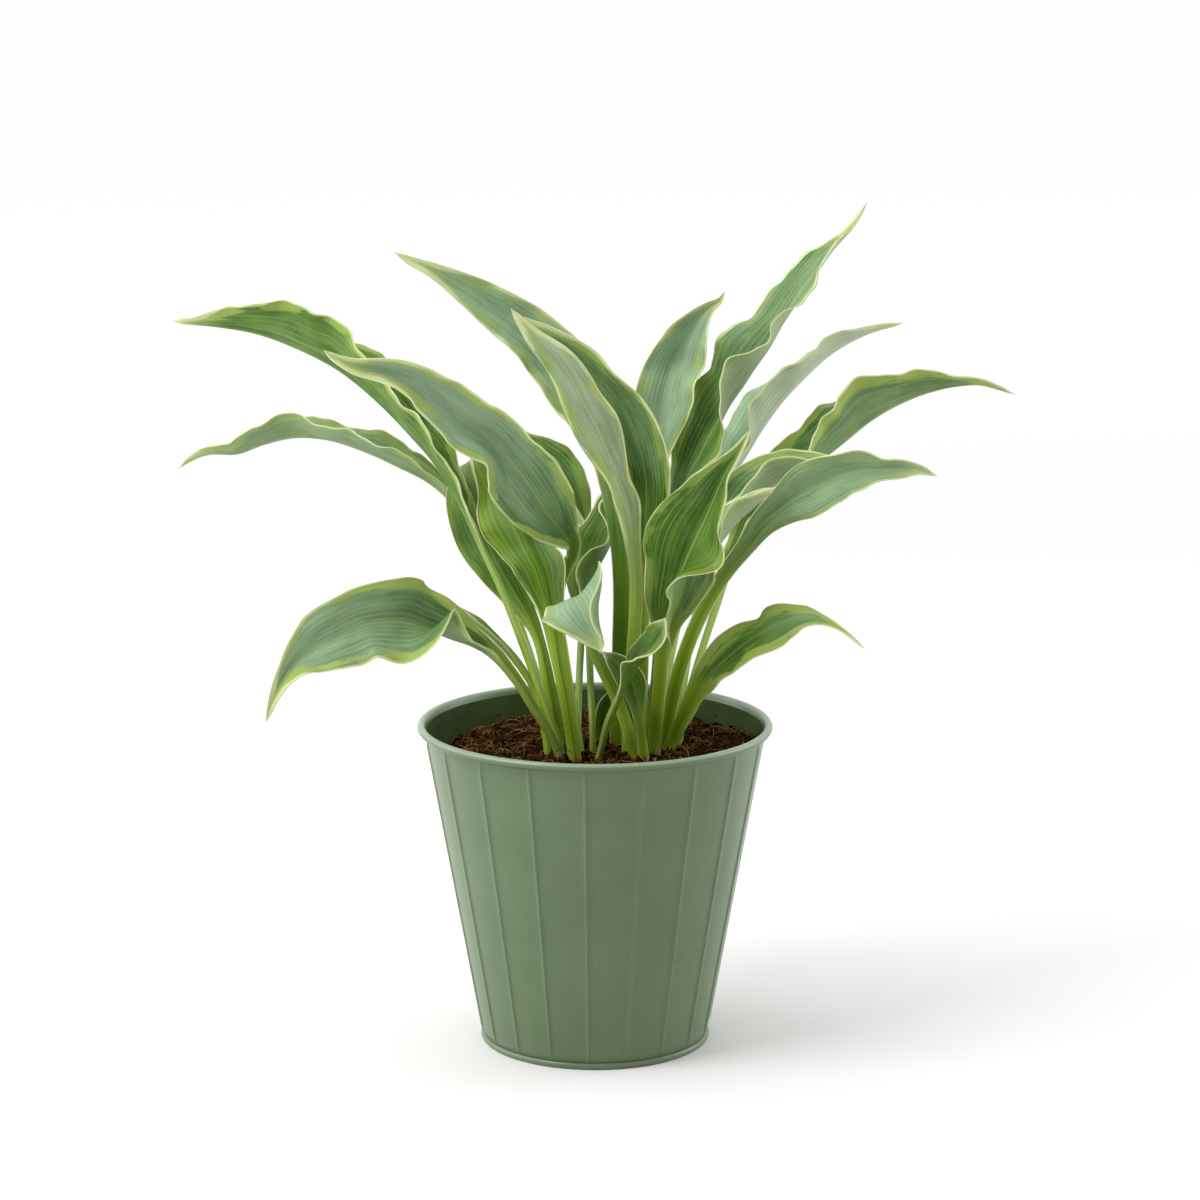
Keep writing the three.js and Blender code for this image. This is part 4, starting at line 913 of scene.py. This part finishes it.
def blade_color(n):
    """Both faces with their clouds, bloom and veins, and the light that shows through some leaves"""
    blotch = n.times(n.streaks(2.8, 0.045, 5), 0.68)
    tone = n.ramp(n.math("MULTIPLY_ADD", n.streak, 0.32, blotch), 0.38, 0.62)
    rib = n.ramp(n.off_rib, 0, 0.06, 1, 0)
    silver = n.times(n.silver, n.ramp(n.share, 0.45, 0.9, 0.3, 1))

    # Greener and darker towards the stalk: painted shade where the leaves shade each other
    green = n.math("ADD", n.green, n.ramp(n.share, 0.38, 0.8, 0.72, -0.05))
    green = n.math("ADD", green, n.times(n.math("SUBTRACT", n.cloud, 0.5), 0.9))
    green = n.math("MINIMUM", n.math("MAXIMUM", green, 0), 1)
    dark = n.mix(green, (0.18, 0.29, 0.152), (0.032, 0.092, 0.002))
    light = n.mix(green, (0.275, 0.395, 0.245), (0.09, 0.182, 0.018))
    top = n.layered(
        n.mix(tone, dark, light),
        (n.ramp(n.fine, 0.4, 0.7), 0.1, dark),
        (silver, 0.8, (0.36, 0.48, 0.35)),
        (n.vein_line, 0.6, n.mix(green, (0.44, 0.55, 0.39), (0.24, 0.37, 0.11))),
        (rib, 0.5, (0.26, 0.38, 0.12)),
    )
    under = n.layered(
        n.mix(tone, (0.125, 0.195, 0.075), (0.245, 0.33, 0.17)),
        (silver, 0.85, (0.5, 0.56, 0.42)),
        (n.green, 0.5, (0.11, 0.22, 0.03)),
        (n.vein_line, 0.4, (0.17, 0.27, 0.09)),
        (rib, 0.7, (0.4, 0.5, 0.2)),
    )
    lit = n.mix(n.ramp(n.streak, 0.35, 0.65), (0.045, 0.11, 0), (0.105, 0.2, 0.002))
    glow = n.times(n.glow, n.ramp(n.across, -0.7, 0.2, 0.4, 1.1))
    return n.layered(n.mix(n.upper, under, top), (glow, n.ramp(n.cloud, 0.3, 0.62, 1.2, 0.7), lit))


def with_margin(n, blade):
    """The blade with its cream margin, feathered along the veins, and yellow-green patches inside that"""
    along_edge = n.stretched(n.math("SIGN", n.across), n.times(n.along, 0.04), 2)
    width = n.ramp(along_edge, 0.32, 0.68, 0.2, 1.3, "LINEAR")
    feather = n.times(n.math("SUBTRACT", n.streaks(13, 0.02, 4), 0.5), 2.4)
    cream = n.times(n.cream, n.ramp(n.share, 0.78, 1, 1, 2.6))
    width = n.math("MAXIMUM", n.times(cream, n.math("ADD", width, feather)), 0.12)
    creamy = n.ramp(n.math("DIVIDE", n.edge, width), 0.75, 1.25, 1, 0)
    patch = n.ramp(n.streaks(2.4, 0.03), 0.4, 0.6, 1.5, 8, "LINEAR")
    patch = n.math("MAXIMUM", n.math("MULTIPLY_ADD", feather, 1.6, patch), 0.3)
    zone = n.ramp(n.math("DIVIDE", n.edge, patch), 0.6, 1.1, 1, 0)
    bladed = n.math("SUBTRACT", 1, n.stalk)
    return n.layered(
        blade,
        (n.times(zone, n.times(n.yellow, bladed)), 0.82, (0.32, 0.42, 0.085)),
        (n.ramp(n.share, 0.9, 1), 0.65, (0.46, 0.54, 0.2)),
        (creamy, bladed, n.mix(n.ramp(n.fine, 0.3, 0.7), (0.4, 0.48, 0.18), (0.66, 0.7, 0.42))),
    )


def stalk_color(n):
    """Grooved stalk, paler at its foot and its edges and darker in its channel, with painted shade where
    leaves shade it
    """
    groove = n.streaks(5, 0.006)
    return n.layered(
        n.mix(n.ramp(groove, 0.25, 0.75), (0.215, 0.325, 0.008), (0.33, 0.455, 0.03)),
        (n.ramp(n.share, 0, 0.14, 1, 0), 0.45, (0.42, 0.5, 0.06)),
        # Paler edges: partly the stalk's pale margin, partly painted highlight
        (n.ramp(n.off_rib, 0.7, 0.98), 0.65, (0.42, 0.52, 0.19)),
        (n.ramp(n.share, 0.12, 0.4), 0.15, (0.21, 0.34, 0.06)),
        # Darker channel: partly the stalk's greener upper side, partly painted shade in the groove
        (n.ramp(n.off_rib, 0.1, 0.55, 0.4, 0), n.upper, (0.11, 0.195, 0.006)),
        # Painted shade: the stalk darkened where other leaves shade it
        (n.painted_stalk_shade, n.ramp(n.along, 25, 70, 0.1, 1), (0.072, 0.155, 0)),
    )


def leaf_material():
    n = LeafNodes(bpy.data.materials.new("leaf_look"))
    blade = with_margin(n, blade_color(n))
    color = n.mix(n.times(n.stalk, n.ramp(n.along, 80, 170, 0.94, 0.35)), blade, stalk_color(n))
    ridges = n.math("ADD", n.times(n.veins, 0.7), n.times(n.fine, 0.6))
    n.bump(n.math("ADD", ridges, n.times(n.streak, 1.2)), 0.32, 0.0005)
    rough = n.math("SUBTRACT", n.ramp(n.streak, 0.3, 0.7, 0.48, 0.58, "LINEAR"), n.times(n.stalk, 0.18))
    return n.finish(color, rough, Specular_IOR_Level=0.2)


def pot_material():
    """Green paint: clouded, with a line of painted shade under the bead, a painted highlight on its crown
    and dust on the foot
    """
    n = material_nodes("pot_look")
    place = n.place()
    height = n.parts(place)[2]
    patch = n.noise(place, 26, 4)
    broad = n.noise(place, 9, 2)
    speck = n.noise(place, 900, 2)
    # Painted shade: the paint darkens in a line just under the bead, where its shadow falls
    from_bead_shade = n.math("ABSOLUTE", n.math("SUBTRACT", height, BEAD_SHADE_HEIGHT))
    color = n.layered(
        n.mix(n.ramp(patch, 0.3, 0.7), (0.09, 0.14, 0.064), (0.103, 0.158, 0.075)),
        (n.ramp(broad, 0.4, 0.65), 0.14, (0.112, 0.142, 0.056)),
        (n.ramp(from_bead_shade, 0, 0.0012, 1, 0), 0.6, (0.022, 0.034, 0.014)),
        # Painted highlight: the bead's crown is lighter where the light from above catches it
        (n.ramp(height, POT_HEIGHT - 0.0022, POT_HEIGHT - 0.0006), 0.75, (0.25, 0.34, 0.23)),
        (n.ramp(speck, 0.5, 0.8), 0.15, (0.17, 0.23, 0.14)),
        (n.ramp(height, 0, 0.016, 0.35, 0), patch, (0.21, 0.25, 0.19)),
    )
    n.bump(n.math("ADD", speck, n.times(patch, 2)), 0.05, 0.0004)
    rough = n.ramp(patch, 0.25, 0.75, 0.3, 0.4, "LINEAR")
    return n.finish(color, rough, Coat_Weight=0.15, Coat_Roughness=0.18, Specular_IOR_Level=0.4)


def inner_shade_material():
    """The same paint inside the pot, darkened as painted shade, and spotted with soil"""
    n = material_nodes("pot_inner_shade_look")
    place = n.place()
    patch = n.noise(place, 40, 4)
    speck = n.noise(place, 700, 2)
    # Painted shade: a darker copy of the outside paint for the shadowed inside of the pot
    color = n.mix(n.ramp(patch, 0.3, 0.7), (0.036, 0.058, 0.016), (0.052, 0.08, 0.026))
    color = n.layered(color, (n.ramp(speck, 0.62, 0.8), 0.5, (0.026, 0.02, 0.01)))
    n.bump(n.math("ADD", speck, n.times(patch, 2)), 0.05, 0.0004)
    return n.finish(color, 0.8, Specular_IOR_Level=0.12)


def soil_material():
    n = material_nodes("soil_look")
    place = n.place()
    lumps = n.noise(place, 210, 5, 0.65)
    grains = n.noise(place, 1100, 3, 0.7)
    color = n.mix(n.ramp(lumps, 0.36, 0.72), (0.003, 0.0012, 0.0004), (0.026, 0.011, 0.0024))
    color = n.layered(color, (n.ramp(grains, 0.55, 0.8), 0.5, (0.15, 0.062, 0.018)))
    n.bump(n.math("ADD", n.times(lumps, 2), grains), 0.9, 0.0012)
    return n.finish(color, 0.92, Specular_IOR_Level=0.03)


def grain_material(name, dark, light, rough):
    """Crumbs or fibres, each with its own tone between dark and light"""
    n = material_nodes(name)
    mottle = n.noise(n.place(), 1500, 2)
    tone = n.math("POWER", n.attribute("grain")[0], 1.8)
    n.bump(mottle, 0.5, 0.0003)
    return n.finish(n.layered(n.mix(tone, dark, light), (mottle, 0.4, dark)), rough, Specular_IOR_Level=0.04)


def finish_piece(piece, material, node=None):
    piece.data.materials.append(material)
    if node:
        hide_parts(node)
    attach(piece, "root")


# The room's light from each direction is its level plus the direction's part along its tilt. The floor is
# darker near the pot. Each lamp has its place, aim and size in metres and its watts.
ROOM_LEVEL = 0.66
ROOM_TILT = (0, 0.42, 0.52)
FLOOR_HALF = 60
FLOOR_FADE = (0.5, 3)
LAMPS = {
    "key_left": ((-1.2, -0.7, 1.6), (0, 0, 0.25), (0.9, 0.9), 24),
    "side_right": ((1.3, 0.35, 0.45), (0, 0, 0.2), (0.9, 1.2), 9),
    "side_left": ((-1.25, 0.15, 0.5), (0, 0, 0.2), (1.2, 1.2), 11),
}


def area_light(name, place, aim, size, energy):
    light = bpy.data.lights.new(name, "AREA")
    light.shape = "RECTANGLE"
    light.size, light.size_y = size
    light.energy = energy
    lamp = add_object(name, light)
    lamp.location = place
    lamp.rotation_euler = (Vector(aim) - Vector(place)).to_track_quat("-Z", "Y").to_euler()


def make_floor():
    bm = bmesh.new()
    bmesh.ops.create_grid(bm, x_segments=2, y_segments=2, size=FLOOR_HALF)
    mesh = bpy.data.meshes.new("floor")
    bm.to_mesh(mesh)
    bm.free()
    n = material_nodes("floor_look")
    distance = n.add("ShaderNodeVectorMath", operation="LENGTH")
    n.fill(distance, n.place())
    far = n.ramp(distance.outputs["Value"], *FLOOR_FADE)
    white = n.mix(far, (0.72, 0.72, 0.715), (0.97, 0.97, 0.97))
    mesh.materials.append(n.finish(white, 0.8, Specular_IOR_Level=0.2))
    add_object("floor", mesh)


def studio():
    scene = bpy.context.scene
    scene.view_settings.view_transform = "Standard"
    scene.world = bpy.data.worlds.new("studio")
    # A white room, darker on the front side and brighter above and behind
    n = Nodes(scene.world, "Background")
    tilt = n.add("ShaderNodeVectorMath", operation="DOT_PRODUCT")
    n.fill(tilt, n.place("Generated"), ROOM_TILT)
    n.put(n.shader.inputs["Strength"], n.math("ADD", tilt.outputs["Value"], ROOM_LEVEL))
    n.put(n.shader.inputs["Color"], (1, 1, 1))
    for name, lamp in LAMPS.items():
        area_light(name, *lamp)
    make_floor()

    camera = add_object("camera", bpy.data.cameras.new("camera"))
    camera.data.lens = LENS_MM
    camera.data.sensor_width = SENSOR_MM
    camera.data.clip_end = 200
    camera.location = EYE / 1000
    camera.rotation_euler = (math.pi / 2 - EYE_DIP, 0, 0)
    scene.camera = camera


studio()
leaf_look = leaf_material()
for number, leaf in enumerate(LEAVES):
    finish_piece(make_leaf(leaf, number), leaf_look, "leaf_" + leaf)
pot_look = pot_material()
pot = make_pot()
finish_piece(pot, pot_look, "pot_wall")
# The inner faces get the darker paint of painted shade
pot.data.materials.append(inner_shade_material())

# The pot's base keeps its own mesh and gets the pot's paint
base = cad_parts["pot_base"]
base.data.materials.clear()
base.data.materials.append(pot_look)

finish_piece(make_soil(), soil_material(), "soil")
draw = np.random.default_rng(11)
crumb_look = grain_material("crumb_look", (0.007, 0.0026, 0.0008), (0.135, 0.052, 0.015), 0.95)
fibre_look = grain_material("fibre_look", (0.06, 0.024, 0.006), (0.52, 0.27, 0.095), 0.8)
finish_piece(make_crumbs(draw), crumb_look)
finish_piece(make_fibres(draw), fibre_look)
